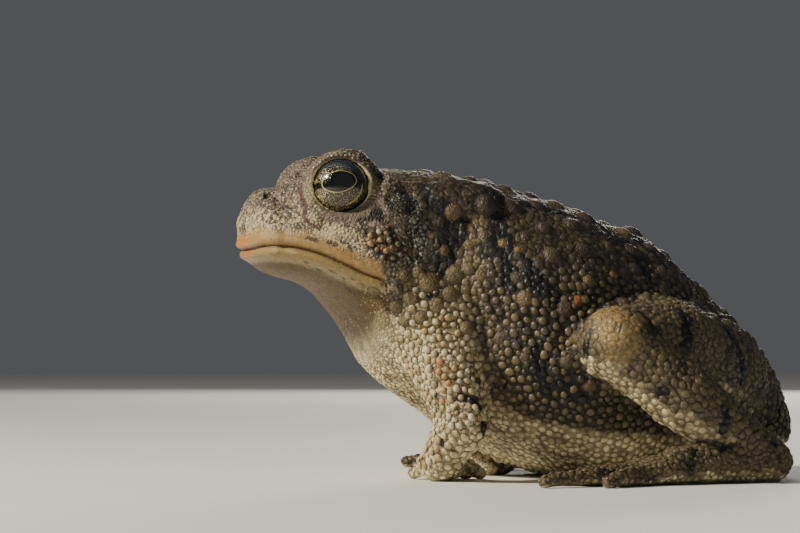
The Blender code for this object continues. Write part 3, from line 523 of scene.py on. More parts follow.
ORBIT_CENTRE = np.array(EYE_CENTRE) - ORBIT_SINK * unit(EYE_AXIS)
CREST_CONES = [(seated(a, lift)[0], seated(b, lift)[0], radius) for a, b, radius, lift in CRESTS]
CREST_CONES += [(start, end, BROW_R) for start, end in zip(BROW, BROW[1:])]
EAR_RING, EAR_NORMAL = seated(EAR_CENTRE, EAR_RIM_LIFT)
EAR_MIDDLE = EAR_RING - EAR_SINK * EAR_NORMAL
PAROTOID_MIDDLE, PAROTOID_NORMAL = seated(PAROTOID_CENTRE, -PAROTOID_SINK)
NOSTRIL_MIDDLE = seated(NOSTRIL, NOSTRIL_LIFT)[0]
EYE_UP = unit(np.array((0.0, 0.0, 1.0)) - unit(EYE_AXIS)[2] * unit(EYE_AXIS))
EYE_FORE = np.cross(EYE_UP, unit(EYE_AXIS))


def eye_place(p):
    """Distance along the eye's axis, across it, and above its middle, with the lids' oval made round."""
    q = p - np.array(EYE_CENTRE)
    up = q @ EYE_UP
    return q @ unit(EYE_AXIS), np.hypot(q @ EYE_FORE, up / LID_SQUASH), up


def lids(p, d):
    """The skin with its round opening for the eye, the roll along its edge and the socket behind it."""
    along, across, _ = eye_place(p)
    d = carve(d, np.maximum(across - LID_OPENING, -along), BLEND_LID)
    thick = LID_EDGE_ALONG + LID_BEVEL + LID_SLOPE * (across - LID_OPENING) - along
    d = carve(d, thick / math.hypot(1.0, LID_SLOPE), BLEND_LID)
    edge = np.hypot(across - LID_OPENING, along - LID_EDGE_ALONG) - LID_EDGE_RADIUS
    d = blend(d, edge, BLEND_LID)
    return np.maximum(d, SOCKET_RADIUS - np.linalg.norm(p - np.array(EYE_CENTRE), axis=1))


def trunk(p):
    d = trunk_core(p) - lips(p)
    d = blend(d, np.linalg.norm(p - ORBIT_CENTRE, axis=1) - ORBIT_RADIUS, BLEND_ORBIT)
    for start, end, radius in CREST_CONES:
        d = blend(d, cone(p, start, end, radius, radius), BLEND_BONE)
    d = blend(d, ring(p, EAR_RING, EAR_NORMAL, EAR_SIZE[0], EAR_RIM), BLEND_BONE)
    return carve(d, np.linalg.norm(p - NOSTRIL_MIDDLE, axis=1) - NOSTRIL_RADIUS, BLEND_LID)


def parotoid(p):
    return ellipsoid(p, PAROTOID_MIDDLE, PAROTOID_SIZE, PAROTOID_NORMAL)


def ear(p):
    return ellipsoid(p, EAR_MIDDLE, EAR_SIZE, EAR_NORMAL)


def heading(degrees, outward):
    """Flat unit vector at that many degrees from -X, turned outward (+Y) or inward."""
    a = math.radians(degrees)
    return np.array([-math.cos(a), math.sin(a) * (1 if outward else -1), 0.0])


def digits(p, d, root, arch, spread, outward, reach):
    """Adds a row of fingers or toes that fan out of a palm or sole and come down to the floor."""
    for degrees, length in spread:
        way = heading(degrees, outward)
        start = np.array(root, float) + way * reach
        start[2] = DIGIT_ROOT_Z
        tip = np.array(root, float) + way * (reach + length)
        tip[2] = DIGIT_TIP_Z
        knuckle = (start + tip) / 2
        knuckle[2] = DIGIT_R + arch
        near_half = cone(p, start, knuckle, DIGIT_ROOT_R, DIGIT_KNUCKLE_R)
        far_half = cone(p, knuckle, tip, DIGIT_KNUCKLE_R, DIGIT_TIP_R)
        d = blend(d, np.minimum(near_half, far_half), BLEND_DIGIT)
    return d


def arm_joints(side):
    """Shoulder, elbow, middle of the forearm, wrist and palm of one arm, on the +Y side."""
    back = ARM_BACK if side == 1 else 0.0
    shift = SHOULDER_BACK if side == 1 else 0.0
    shoulder = np.array(SHOULDER) + (shift, 0.0, 0.0)
    return [shoulder] + [np.array(joint) + (back, 0.0, 0.0) for joint in (ELBOW, FOREARM_MID, WRIST, PALM)]


def arm_of(p, side):
    shoulder, elbow, forearm, wrist, palm = arm_joints(side)
    d = cone(p, shoulder, elbow, SHOULDER_R, ELBOW_R)
    d = blend(d, cone(p, elbow, forearm, ELBOW_R, FOREARM_R), BLEND_FOLD)
    d = np.minimum(d, cone(p, forearm, wrist, FOREARM_R, WRIST_R))
    d = blend(d, cone(p, wrist, palm, WRIST_R, PALM_SIZE[2]), BLEND_FOLD)
    d = blend(d, ellipsoid(p, palm, PALM_SIZE), BLEND_FOLD)
    return digits(p, d, palm, FINGER_ARCH, FINGERS, False, FINGER_ROOT)


def side_by_side(p, function):
    """A function of mirrored points and their side, -1 or 1, worked out for points on both sides."""
    q = both_sides(p)
    right = p[:, 1] > 0
    result = np.empty(len(p))
    for side, chosen in ((-1, ~right), (1, right)):
        result[chosen] = function(q[chosen], side)
    return result


def leg(p):
    d = cone(p, HIP, THIGH_MID, HIP_R, THIGH_R)
    d = np.minimum(d, cone(p, THIGH_MID, KNEE, THIGH_R, KNEE_R))
    d = blend(d, cone(p, KNEE, CALF, SHANK_TOP_R, CALF_R), BLEND_FOLD)
    d = np.minimum(d, cone(p, CALF, HEEL, CALF_R, HEEL_R))
    d = blend(d, cone(p, HEEL, INSTEP, HEEL_R, INSTEP_R), BLEND_FOLD)
    d = blend(d, ellipsoid(p, SOLE, SOLE_SIZE), BLEND_FOLD)
    d = blend(d, ellipsoid(p, SPUR, SPUR_SIZE), BLEND_DIGIT)
    web = np.array(SOLE, float) + heading(TOES[2][0], True) * WEB_REACH
    web[2] = WEB_SIZE[2] - WEB_SINK
    d = blend(d, ellipsoid(p, web, WEB_SIZE), BLEND_DIGIT)
    return digits(p, d, SOLE, TOE_ARCH, TOES, True, TOE_ROOT)


def share(value, start, end):
    """0 at start and 1 at end, smoothly between."""
    t = np.clip((value - start) / (end - start), 0.0, 1.0)
    return t * t * (3 - 2 * t)


def distances(p):
    """Distance of each point to each group of flesh."""
    q = both_sides(p)
    found = {"trunk": trunk(q), "parotoid": parotoid(q), "ear": ear(q), "leg": leg(q)}
    found["arm"] = side_by_side(p, arm_of)
    return found


def flesh(found):
    """Distance to the toad's skin before its lids, folds and warts."""
    d = blend(found["trunk"], found["parotoid"], BLEND_GLAND)
    d = blend(d, found["ear"], BLEND_EAR)
    d = blend(d, found["arm"], BLEND_ARM)
    return blend(d, found["leg"], BLEND_LEG)


def plain_skin(p):
    return flesh(distances(p))


def behind_jaws(q):
    return (q - np.array(NECK_POINT)) @ unit(NECK_NORMAL)


def waves(p):
    """Slow uneven waves over the body, from about -1.5 to 1.5."""
    x, y, z = p.T
    slow = np.sin(x * 0.9 + 1.3) * np.sin(y * 1.1 + 0.4) * np.sin(z * 1.0 + 2.1)
    return slow + 0.5 * np.sin(x * 2.1 + z * 0.8) * np.sin(y * 1.9 - z * 1.3)


def skin(p):
    """Distance to the finished skin, level where it rests, without its warts."""
    q = both_sides(p)
    found = distances(p)
    d = flesh(found) + UNEVEN * share(behind_jaws(q), UNEVEN_FROM, UNEVEN_TO) * waves(p)
    clear_of_arm = share(found["arm"], FOLD_STOP, FOLD_START)
    for path, spread, depth in FOLDS:
        fold = bump(np.maximum(strokes(q, [[(*point, 0.0) for point in path]]), 0.0), spread)
        d = d + depth * clear_of_arm * fold
    d = lids(q, d)
    return np.maximum(d, -p[:, 2])


def onto_skin(p, rounds=4):
    for _ in range(rounds):
        p = p - slope_of(plain_skin, p) * plain_skin(p)[:, None]
    return p


def trunk_point(x, degrees):
    """Point on the trunk's section at x, at that many degrees from the top, positive towards +Y."""
    a = math.radians(degrees)
    top = math.cos(a) > 0
    middle = float(widest_line(x))
    height = float(back_line(x)) - middle if top else middle - float(belly_line(x))
    power = float(square_top_line(x) if top else square_bottom_line(x))
    across = abs(math.sin(a)) ** (2 / power) * float(width_line(x))
    up = abs(math.cos(a)) ** (2 / power) * height
    return (x, math.copysign(across, math.sin(a)), middle + (up if top else -up))


def large_warts():
    """(points on the skin, normals, radii) of the warts that swell out of the skin itself."""
    rng = np.random.default_rng(SEED)
    found = []
    for row, x in enumerate(np.arange(*TORSO_ROWS)):
        for degrees in range(-TORSO_TURN, TORSO_TURN + 1, TORSO_SPACING):
            turn = degrees + TORSO_SPACING / 2 * (row % 2) + rng.uniform(-WART_TURN_JITTER, WART_TURN_JITTER)
            flank = abs(turn) / TORSO_TURN
            radius = rng.uniform(*WART_RADII) * (1.0 - WART_SHRINK * flank)
            place = trunk_point(x + rng.uniform(-WART_JITTER, WART_JITTER), turn)
            found.append((*place, radius))
    rows = len(found)
    found += [(x, y * side, z, radius) for side in (-1, 1) for x, y, z, radius in OWN_WARTS + CHEEK_WARTS]
    found = np.array(found)
    points, radii = onto_skin(found[:, :3]), found[:, 3]
    clear = points[:, 2] > WART_CLEARANCE * radii
    for i in range(rows):
        clear[i] &= (np.linalg.norm(points[rows:] - points[i], axis=1) > radii[i] + radii[rows:]).all()
    points = points[clear]
    return points, slope_of(plain_skin, points), radii[clear]


def dome(t):
    """Height of a wart at t radii from its middle: a rounded dome in a shallow moat."""
    return np.sqrt(np.clip(1.0 - t**2, 0.0, 1.0)) ** WART_POWER - MOAT_DEPTH * bump(t - MOAT_AT, MOAT_SPREAD)


def swell(field, axes, step, warts):
    """Raises each wart out of the sampled distance field."""
    low = np.array([axis[0] for axis in axes])
    for point, normal, radius in zip(*warts):
        reach = WART_REACH * radius + WART_MARGIN
        first = np.maximum(((point - reach - low) / step).astype(int), 0)
        last = ((point + reach - low) / step).astype(int) + 1
        window = tuple(slice(a, b) for a, b in zip(first, last))
        inside = [axis[part] for axis, part in zip(axes, window)]
        grid = np.stack(np.meshgrid(*inside, indexing="ij"), axis=-1)
        offset = grid - point
        height = offset @ normal
        across = np.sqrt(np.maximum((offset**2).sum(-1) - height**2, 0.0))
        near = np.clip(2.0 - np.abs(height) / WART_FADE, 0.0, 1.0)
        field[window] -= (radius * WART_RISE * dome(across / radius) * near).astype(np.float32)


def sampled(distance, low, high, step):
    """Field samples near the surface only: far from it a block of samples holds just its sign."""
    counts = np.ceil((np.array(high) - np.array(low)) / (step * BLOCK)).astype(int) * BLOCK
    axes = [low[i] + step * np.arange(counts[i]) for i in range(3)]
    centres = [axis.reshape(-1, BLOCK).mean(axis=1) for axis in axes]
    coarse = np.stack(np.meshgrid(*centres, indexing="ij"), axis=-1)
    rough = np.concatenate([distance(slab.reshape(-1, 3)) for slab in coarse]).reshape(coarse.shape[:3])
    field = np.where(rough > 0, np.float32(FAR), np.float32(-FAR))
    field = field.repeat(BLOCK, 0).repeat(BLOCK, 1).repeat(BLOCK, 2)
    near = np.argwhere(np.abs(rough) < BLOCK_REACH * BLOCK * step)
    inner = np.stack(np.meshgrid(*[np.arange(BLOCK)] * 3, indexing="ij"), axis=-1).reshape(-1, 3)
    for part in np.array_split(near, max(1, len(near) * len(inner) // BATCH)):
        cells = (part[:, None] * BLOCK + inner[None]).reshape(-1, 3)
        points = np.stack([axes[i][cells[:, i]] for i in range(3)], axis=1)
        field[cells[:, 0], cells[:, 1], cells[:, 2]] = distance(points)
    return field, axes


def polygons(name, field, axes, step):
    """Mesh, in millimetres, of the surface where the samples cross zero."""
    grid = openvdb.FloatGrid(FAR)
    grid.copyFromArray(field)
    corners, triangles, quads = grid.convertToPolygons(0.0, 0.0)
    corners = corners * step + np.array([axis[0] for axis in axes])
    loops = np.concatenate([quads.ravel(), triangles.ravel()]).astype(np.int32)
    starts = np.concatenate([np.arange(len(quads)) * 4, len(quads) * 4 + np.arange(len(triangles)) * 3])
    mesh = bpy.data.meshes.new(name)
    mesh.vertices.add(len(corners))
    mesh.vertices.foreach_set("co", corners.astype(np.float32).ravel())
    mesh.loops.add(len(loops))
    mesh.loops.foreach_set("vertex_index", loops)
    mesh.polygons.add(len(starts))
    mesh.polygons.foreach_set("loop_start", starts.astype(np.int32))
    mesh.update(calc_edges=True)
    return mesh


def largest_body(mesh):
    """Keeps the biggest closed surface of a mesh, drops loose scraps and turns its faces outward."""
    edges = np.empty(len(mesh.edges) * 2, np.int32)
    mesh.edges.foreach_get("vertices", edges)
    edges = edges.reshape(-1, 2)
    label = np.arange(len(mesh.vertices))
    while True:
        lowest = label.copy()
        np.minimum.at(lowest, edges[:, 0], label[edges[:, 1]])
        np.minimum.at(lowest, edges[:, 1], label[edges[:, 0]])
        lowest = lowest[lowest]
        if (lowest == label).all():
            break
        label = lowest
    names, sizes = np.unique(label, return_counts=True)
    scraps = set(np.flatnonzero(label != names[sizes.argmax()]).tolist())
    shape = bmesh.new()
    shape.from_mesh(mesh)
    if scraps:
        shape.verts.ensure_lookup_table()
        bmesh.ops.delete(shape, geom=[shape.verts[i] for i in scraps], context="VERTS")
    bmesh.ops.recalc_face_normals(shape, faces=shape.faces)
    shape.to_mesh(mesh)
    shape.free()
    return mesh


def new_object(name, mesh):
    made = bpy.data.objects.new(name, mesh)
    bpy.context.scene.collection.objects.link(made)
    return made


def evaluated_mesh(made):
    """The object's mesh with its modifiers applied, as a new mesh."""
    graph = bpy.context.evaluated_depsgraph_get()
    return bpy.data.meshes.new_from_object(made.evaluated_get(graph))


def discard(made):
    """Removes a helper object and its mesh."""
    mesh = made.data
    bpy.data.objects.remove(made)
    bpy.data.meshes.remove(mesh)


def thinned(mesh, triangles):
    """The mesh with about that many triangles, the smaller ones on the head."""
    helper = new_object("thinning", mesh)
    step = helper.modifiers.new("triangles", "TRIANGULATE")
    step.keep_custom_normals = False
    fewer = helper.modifiers.new("fewer", "DECIMATE")
    fewer.ratio = min(1.0, triangles / (2.0 * len(mesh.polygons)))
    body = helper.vertex_groups.new(name="body")
    on_head = behind_jaws(vertices_of(mesh)) < HEAD_MARGIN
    body.add(np.flatnonzero(~on_head).tolist(), 1.0, "REPLACE")
    body.add(np.flatnonzero(on_head).tolist(), HEAD_WEIGHT, "REPLACE")
    fewer.vertex_group = "body"
    fewer.vertex_group_factor = HEAD_CARE
    result = evaluated_mesh(helper)
    discard(helper)
    return result


def vertices_of(mesh, value="co"):
    """Places of a mesh's vertices, or with "normal" their normals."""
    numbers = np.empty(len(mesh.vertices) * 3, np.float32)
    mesh.vertices.foreach_get(value, numbers)
    return numbers.reshape(-1, 3).astype(float)


def within(q, limits):
    """Product of shares, each given as an axis, where it is 0 and where it is 1."""
    return math.prod(share(q[:, axis], start, end) for axis, start, end in limits)


def drawn_marks(p, q, arm):
    """Distances to the given marks. Those of the right side differ a little from the left's."""
    right = share(p[:, 1], 0.0, 3.0)
    wander = [np.sin(q[:, 0] * 0.35 + 1.0), np.sin(q[:, 2] * 0.3 + 2.0), np.sin((q[:, 0] + q[:, 2]) * 0.35)]
    r = q + STRAY * right[:, None] * np.stack(wander, axis=1)
    lower_arm = share(q[:, 2], 24.0, 9.0)
    r[:, 0] -= arm * right * (SHOULDER_BACK + (ARM_BACK - SHOULDER_BACK) * lower_arm)
    found = {name: strokes(r, paths) for name, paths in DRAWN.items()}
    found["stroke"] = np.zeros(len(q))
    for path, spread in LINES:
        near = strokes(r, [[(*point, 0.0) for point in path]])
        found["stroke"] = np.maximum(found["stroke"], bump(near, spread))
    return found


def face_marks(q, arm):
    """Where the lids, the brow, the bag under the eye, the mouth, the snout and the cheek's warts are."""
    along, across, up = eye_place(q)
    fore = q @ EYE_FORE - EYE_CENTRE @ EYE_FORE
    return {
        "lid": np.where(along > 0, np.hypot(across - LID_OPENING, along - LID_EDGE_ALONG), FAR),
        "brow": share(up, 0.0, 2.5) * share(across, ORBIT_RADIUS + 1.0, ORBIT_RADIUS - 0.4) * (along > -2.5),
        "bag": share(across, 7.4, 5.6) * share(up, -1.2, -2.8) * (along > -2.0),
        "back_of_eye": share(along, -1.0, 1.0) * share(fore, -3.6, -5.2) * share(up, -5.5, -3.0),
        "gape": np.clip(q[:, 2] - mouth_line(q[:, 0]), -9.0, 9.0),
        "jaw": share(q[:, 0], MOUTH_END_X + 0.6, MOUTH_END_X - 1.6) * (1 - arm),
        "snout": bump(np.linalg.norm(q - np.array(SNOUT_TIP), axis=1), 2.4),
        "nostril": bump(np.linalg.norm(q - NOSTRIL_MIDDLE, axis=1), 0.8),
        "cheek": share(strokes(q, CHEEK), 0.5, -0.3),
    }


def wart_marks(p, warts):
    """How near each point is to the middle of a large wart, and a tone drawn for each wart."""
    wart, tone = np.zeros(len(p)), np.full(len(p), 0.5)
    rng = np.random.default_rng(SEED + 1)
    for point, normal, radius in zip(*warts):
        offset = p - point
        rise = offset @ normal
        t = np.sqrt(np.maximum((offset**2).sum(1) - rise**2, 0.0)) / radius
        here = (t < WART_SKIRT) & (np.abs(rise) < 2.0)
        wart[here] = np.maximum(wart[here], 1.0 - t[here] / WART_SKIRT)
        tone[here] = rng.uniform()
    return {"wart": wart, "tone": tone}


def marks(p, normals, warts):
    """What the colours depend on at each point: distances in millimetres, and shares from 0 to 1."""
    q, parts = both_sides(p), distances(p)
    behind = behind_jaws(q)
    arm = share(np.minimum(parts["trunk"], parts["leg"]) - parts["arm"], -1.5, 1.5)
    leg = share(np.minimum(parts["trunk"], parts["arm"]) - parts["leg"], -1.5, 1.5)
    limb = np.maximum(arm, leg)
    under_limb = limb * share(-normals[:, 2], 0.1, 0.8)
    found = {
        "arm": arm,
        "leg": leg,
        "gland": share(parts["trunk"] - parts["parotoid"], -0.6, 0.6),
        "drum": share(np.minimum(parts["trunk"], parts["parotoid"]) - parts["ear"], -0.3, 0.3),
        "head": share(behind, 1.0, -2.0),
        "face": share(behind, -0.8, -4.5),
        "pale": (1 - limb) * share(pale_line(q[:, 0]) - q[:, 2], -1.8, 1.8) + under_limb,
    }
    found.update({name: within(q, limits) for name, limits in REGIONS.items()})
    found["throat"] = found["pale"] * (1 - limb) * found["throat"]
    found["flank"] = (1 - limb) * (1 - found["pale"]) * found["flank"]
    return {**found, **drawn_marks(p, q, arm), **face_marks(q, arm), **wart_marks(p, warts)}


def store(mesh, name, values, kind="FLOAT"):
    if not np.isfinite(values).all():
        raise RuntimeError(f"{name} isn't a number everywhere")
    layer = mesh.attributes.new(name, kind, "POINT")
    layer.data.foreach_set("value" if kind == "FLOAT" else "vector", values.astype(np.float32).ravel())


def stored(mesh, name):
    values = np.empty(len(mesh.vertices), np.float32)
    mesh.attributes[name].data.foreach_get("value", values)
    return values


def unwrap(p, normals, found):
    """Place of each point on a flat layout of the skin: trunk below, arms above it, legs on top."""
    side = (p[:, 1] > 0).astype(float)
    length = np.clip((p[:, 0] - SNOUT_TIP_X) / (VENT_X - SNOUT_TIP_X), 0.0, 1.0)
    around = np.arctan2(p[:, 1], p[:, 2] - widest_line(p[:, 0])) / (2 * math.pi) + 0.5
    tilt = np.arctan2(normals[:, 1] * (2 * side - 1), normals[:, 2]) / (2 * math.pi) + 0.5
    fall = np.clip(1.0 - p[:, 2] / 32.0, 0.0, 1.0)
    flat = np.stack([0.02 + 0.96 * length, 0.02 + 0.54 * around], axis=1)
    on_arm = np.stack([0.02 + 0.45 * fall + 0.5 * side, 0.6 + 0.12 * tilt], axis=1)
    on_leg = np.stack([0.02 + 0.45 * length + 0.5 * side, 0.76 + 0.22 * tilt], axis=1)
    flat = np.where(found["arm"][:, None] > 0.5, on_arm, flat)
    return np.where(found["leg"][:, None] > 0.5, on_leg, flat)


# How much more densely places are tried on head and throat
HEAD_CROWD, THROAT_CROWD = 3.5, 1.5

# Beads by region, as radius in mm, spread of the radius, rise as a share of it, and spacing
BEADS = {
    "back": (0.44, 0.16, 0.2, 0.98),
    "flank": (0.48, 0.16, 0.5, 0.95),
    "pale": (0.42, 0.12, 0.5, 0.95),
    "throat": (0.31, 0.15, 0.65, 0.96),
    "gland": (0.34, 0.2, 0.2, 1.0),
    "leg": (0.44, 0.18, 0.32, 1.0),
    "front": (0.36, 0.15, 0.2, 1.05),
    "arm": (0.4, 0.2, 0.8, 0.94),
    "hand": (0.46, 0.22, 0.7, 0.95),
    "foot": (0.33, 0.15, 0.4, 1.0),
    "head": (0.18, 0.25, 0.36, 1.02),
    "chalk": (0.2, 0.25, 0.6, 0.98),
    "brow": (0.22, 0.3, 0.45, 1.0),
    "cracked": (0.26, 0.25, 0.25, 1.15),
    "drum": (0.17, 0.15, 0.5, 1.0),
    "cheek": (0.33, 0.35, 0.8, 1.25),
}
# The least and the most that the spread makes of a radius
BEAD_RANGE = (0.7, 1.45)


def spots_on(mesh, count, rng):
    """Random points over a triangle mesh, closer on head and throat.

    Gives their places, their normals, and a function that reads a vertex attribute's values at them.
    """
    corners, normals = vertices_of(mesh), vertices_of(mesh, "normal")
    faces = np.empty(len(mesh.polygons) * 3, np.int32)
    mesh.polygons.foreach_get("vertices", faces)
    faces = faces.reshape(-1, 3)
    a, b, c = (corners[faces[:, i]] for i in range(3))
    areas = np.linalg.norm(np.cross(b - a, c - a), axis=1)
    areas *= 1.0 + (HEAD_CROWD * stored(mesh, "head") + THROAT_CROWD * stored(mesh, "throat"))[faces[:, 0]]
    chosen = faces[np.searchsorted(np.cumsum(areas) / areas.sum(), rng.uniform(size=count) * (1 - TINY))]
    u, v = rng.uniform(size=(2, count))
    outside = u + v > 1
    u, v = np.where(outside, 1 - u, u), np.where(outside, 1 - v, v)
    weights = np.stack([1 - u - v, u, v], axis=1)
    normal = (normals[chosen] * weights[..., None]).sum(1)
    normal /= np.maximum(np.linalg.norm(normal, axis=1, keepdims=True), TINY)
    places = (corners[chosen] * weights[..., None]).sum(1)
    return places, normal, lambda values: (values[chosen] * weights).sum(1)


def bead_measures(p, found):
    """Radius, spread of the radius, rise and spacing for a bead at each point, blended between regions."""
    z = p[:, 2]
    arm, leg, head = found["arm"], found["leg"], found["head"]
    masks = (
        ("flank", share(z, 34.0, 27.0)),
        ("pale", found["pale"]),
        ("throat", found["throat"]),
        ("gland", found["gland"]),
        ("cracked", share(found["cracked"], 1.0, -0.5)),
        ("leg", leg),
        ("front", leg * share(found["front"], 1.5, -1.0)),
        ("foot", leg * share(z, 5.5, 3.5)),
        ("arm", arm),
        ("hand", arm * share(z, 8.0, 5.5)),
        ("foot", arm * share(z, 2.6, 1.6)),
        ("head", head),
        ("chalk", head * share(found["chalk"], 0.4, -0.3)),
        ("brow", head * found["brow"]),
        ("drum", found["drum"]),
        ("cheek", found["cheek"] * (1 - found["drum"])),
    )
    values = np.tile(BEADS["back"], (len(p), 1))
    for name, mask in masks:
        values += mask[:, None] * (np.array(BEADS[name]) - values)
    return values.T


def bare_spots(p, found, rng):
    """Where no bead grows: lids, warts, mouth, chin, folds, nostrils and soles, and some of the back."""
    head, leg, gape = found["head"], found["leg"], found["gape"]
    luck = rng.uniform(size=len(p))
    bare = (found["lid"] < 0.8) | (found["wart"] > 0.12) | (p[:, 2] < 0.55) | (found["stroke"] > 0.5)
    bare |= found["nostril"] > 0.4
    bare |= (found["jaw"] > 0.3) & (gape > -2.2) & (gape < 1.9)
    bare |= (head > 0.3) & (gape < -2.0) & (p[:, 0] < -24.5)
    bare |= (found["bag"] > 0.3) & (found["chalk"] > 0.5)
    bare |= (within(p, REGIONS["back"]) * (1 - head) * (1 - leg) > 0.5) & (luck < 0.35)
    return bare | (leg * share(found["front"], 1.0, -1.0) > 0.5) & (luck < 0.5)


def scatter(places, radii, spacing):
    """Which points to keep so that no two beads crowd each other. Large beads are placed first."""
    tree = KDTree(len(places))
    for i, place in enumerate(places):
        tree.insert(place, i)
    tree.balance()
    free = radii > 0
    kept = []
    for i in np.argsort(-radii, kind="stable"):
        if not free[i]:
            continue
        kept.append(i)
        for _, j, gap in tree.find_range(places[i], 2 * spacing[i] * radii[i]):
            if gap < spacing[i] * (radii[i] + radii[j]):
                free[j] = False
    return np.array(kept)


class Link:
    """One number that varies over a surface. Python's operators on it add Math nodes."""

    def __init__(self, graph, socket):
        self.graph, self.socket = graph, socket

    def combine(self, operation, *values):
        return self.graph.node("ShaderNodeMath", {"operation": operation}, dict(enumerate(values)))

    def __add__(self, other):
        return self.combine("ADD", self, other)

    def __sub__(self, other):
        return self.combine("SUBTRACT", self, other)

    def __rsub__(self, other):
        return self.combine("SUBTRACT", other, self)

    def __mul__(self, other):
        return self.combine("MULTIPLY", self, other)

    def __truediv__(self, other):
        return self.combine("DIVIDE", self, other)

    def __rtruediv__(self, other):
        return self.combine("DIVIDE", other, self)

    def __pow__(self, other):
        return self.combine("POWER", self, other)

    def larger(self, other):
        return self.combine("MAXIMUM", self, other)

    __radd__, __rmul__ = __add__, __mul__


class Graph:
    """A node tree. node() adds a node from its type, its settings and the values or links of its sockets."""

    def __init__(self, tree):
        self.tree = tree

    def node(self, kind, settings=None, values=None, output=0):
        made = self.tree.nodes.new(kind)
        for name, value in (settings or {}).items():
            setattr(made, name, value)
        for key, value in (values or {}).items():
            self.feed(made.inputs[key], value)
        return Link(self, made.outputs[output])

    def feed(self, socket, value):
        if isinstance(value, Link):
            self.tree.links.new(value.socket, socket)
        else:
            socket.default_value = value


class Finish(Graph):
    """A material. Its patterns are in millimetres of the toad's own place, so they run on between pieces."""

    def __init__(self, name):
        self.material = bpy.data.materials.new(name)
        self.material.use_nodes = True
        super().__init__(self.material.node_tree)
        place = self.node("ShaderNodeTexCoord", output="Object")
        self.place = self.node("ShaderNodeVectorMath", {"operation": "SCALE"}, {0: place, "Scale": 1.0 / MM})

    def mark(self, name):
        return self.node("ShaderNodeAttribute", {"attribute_name": name}, output="Fac")

    def noise(self, size, detail=2.0, roughness=0.5, warp=0.0, place=None):
        """Cloudy pattern from 0 to 1 whose blobs are about that many millimetres across."""
        values = {"Vector": place or self.place, "Scale": 1.0 / size, "Detail": detail}
        values.update({"Roughness": roughness, "Distortion": warp})
        return self.node("ShaderNodeTexNoise", {}, values, "Fac")

    def stretched(self, x, y, z):
        """The place with its axes scaled: patterns read from it are drawn out along the small ones."""
        return self.node("ShaderNodeVectorMath", {"operation": "MULTIPLY"}, {0: self.place, 1: (x, y, z)})

    def cells(self, size, place=None):
        """Distance to the edge in a network of rounded cells about that many millimetres across."""
        place = place or self.place
        jitter = self.node("ShaderNodeTexNoise", {}, {"Vector": place, "Scale": 1.2 / size}, "Color")
        bent = self.node("ShaderNodeMix", {"data_type": "VECTOR"}, {"Factor": 0.12, 4: place, 5: jitter}, 1)
        values = {"Vector": bent, "Scale": 1.0 / size}
        return self.node("ShaderNodeTexVoronoi", {"feature": "DISTANCE_TO_EDGE"}, values, "Distance")

    def dots(self, size):
        """Distance to the middle of the nearest of some dots that far apart, as a share of that."""
        return self.node("ShaderNodeTexVoronoi", {}, {"Vector": self.place, "Scale": 1.0 / size}, "Distance")

    def smooth(self, value, start, end):
        """0 where the value is at start and 1 where it is at end, smoothly between."""
        ends = {"Value": value, "From Min": start, "From Max": end, "To Min": 0.0, "To Max": 1.0}
        return self.node("ShaderNodeMapRange", {"interpolation_type": "SMOOTHSTEP"}, ends)

    def band(self, value, start, full, still_full, end):
        """1 between full and still_full, and 0 outside start and end."""
        return self.smooth(value, start, full) * self.smooth(value, end, still_full)

    def mix(self, factor, first, second, mode="MIX"):
        values = {0: factor, 6: first, 7: second}
        return self.node("ShaderNodeMix", {"data_type": "RGBA", "blend_type": mode}, values, 2)

    def patches(self, size, first, second, amount=1.0):
        """The first colour with clouds of the second."""
        return self.mix(self.smooth(self.noise(size, 3.0), 0.3, 0.7) * amount, first, second)

    def apply(self, colour, roughness, height=None, strength=1.0, **constants):
        shader = self.tree.nodes["Principled BSDF"]
        self.feed(shader.inputs["Base Color"], colour)
        self.feed(shader.inputs["Roughness"], roughness)
        if height is not None:
            values = {"Height": height, "Distance": MM, "Strength": strength}
            self.feed(shader.inputs["Normal"], self.node("ShaderNodeBump", {}, values))
        for name, value in constants.items():
            shader.inputs[name.replace("_", " ").title().replace("Ior", "IOR")].default_value = value
        return self.material


def tint(red, green, blue):
    """Colour from the 0 to 255 values that a screen shows."""
    shares = (value / 255.0 for value in (red, green, blue))
    return (*(v / 12.92 if v <= 0.04045 else ((v + 0.055) / 1.055) ** 2.4 for v in shares), 1.0)


UMBER = tint(58, 48, 42)
BROWN = tint(58, 44, 33)
RUST = tint(74, 48, 34)
OLIVE = tint(72, 65, 47)
GREY_GREEN = tint(152, 152, 132)
GREY_CREAM = tint(196, 186, 158)
PEACH = tint(176, 138, 84)
EMBER, EMBER_LIGHT = tint(164, 88, 46), tint(186, 134, 88)
ORANGE = tint(196, 116, 54)
LID_GREEN, LID_EDGE = tint(160, 158, 108), tint(210, 204, 150)
MAUVE = tint(104, 84, 76)
BAG_GREY = tint(112, 98, 84)
GRANULE = tint(206, 198, 178)
DRUM = tint(32, 31, 34)
# Brown of the throat's cracks, also used for painted shade on the low belly and round the feet of beads
THROAT_CRACK_AND_SHADE = tint(88, 70, 40)
CLAY = tint(152, 126, 80)
CHIN = tint(98, 74, 28)
LOWER_LIP = tint(140, 122, 74)
WHITE = (1.0, 1.0, 1.0, 1.0)
PUPIL_BLACK, LIMBUS_BLACK = tint(6, 6, 7), tint(10, 10, 10)
IRIS_BROWN, IRIS_WARM = tint(20, 19, 14), tint(40, 34, 22)
# The bluish iris colour is a painted reflection of the sky
IRIS_GREEN, IRIS_SKY_REFLECTION = tint(34, 38, 28), tint(34, 44, 60)
IRIS_PALE, PUPIL_RIM, IRIS_ARC = tint(232, 220, 176), tint(214, 202, 112), tint(182, 172, 84)


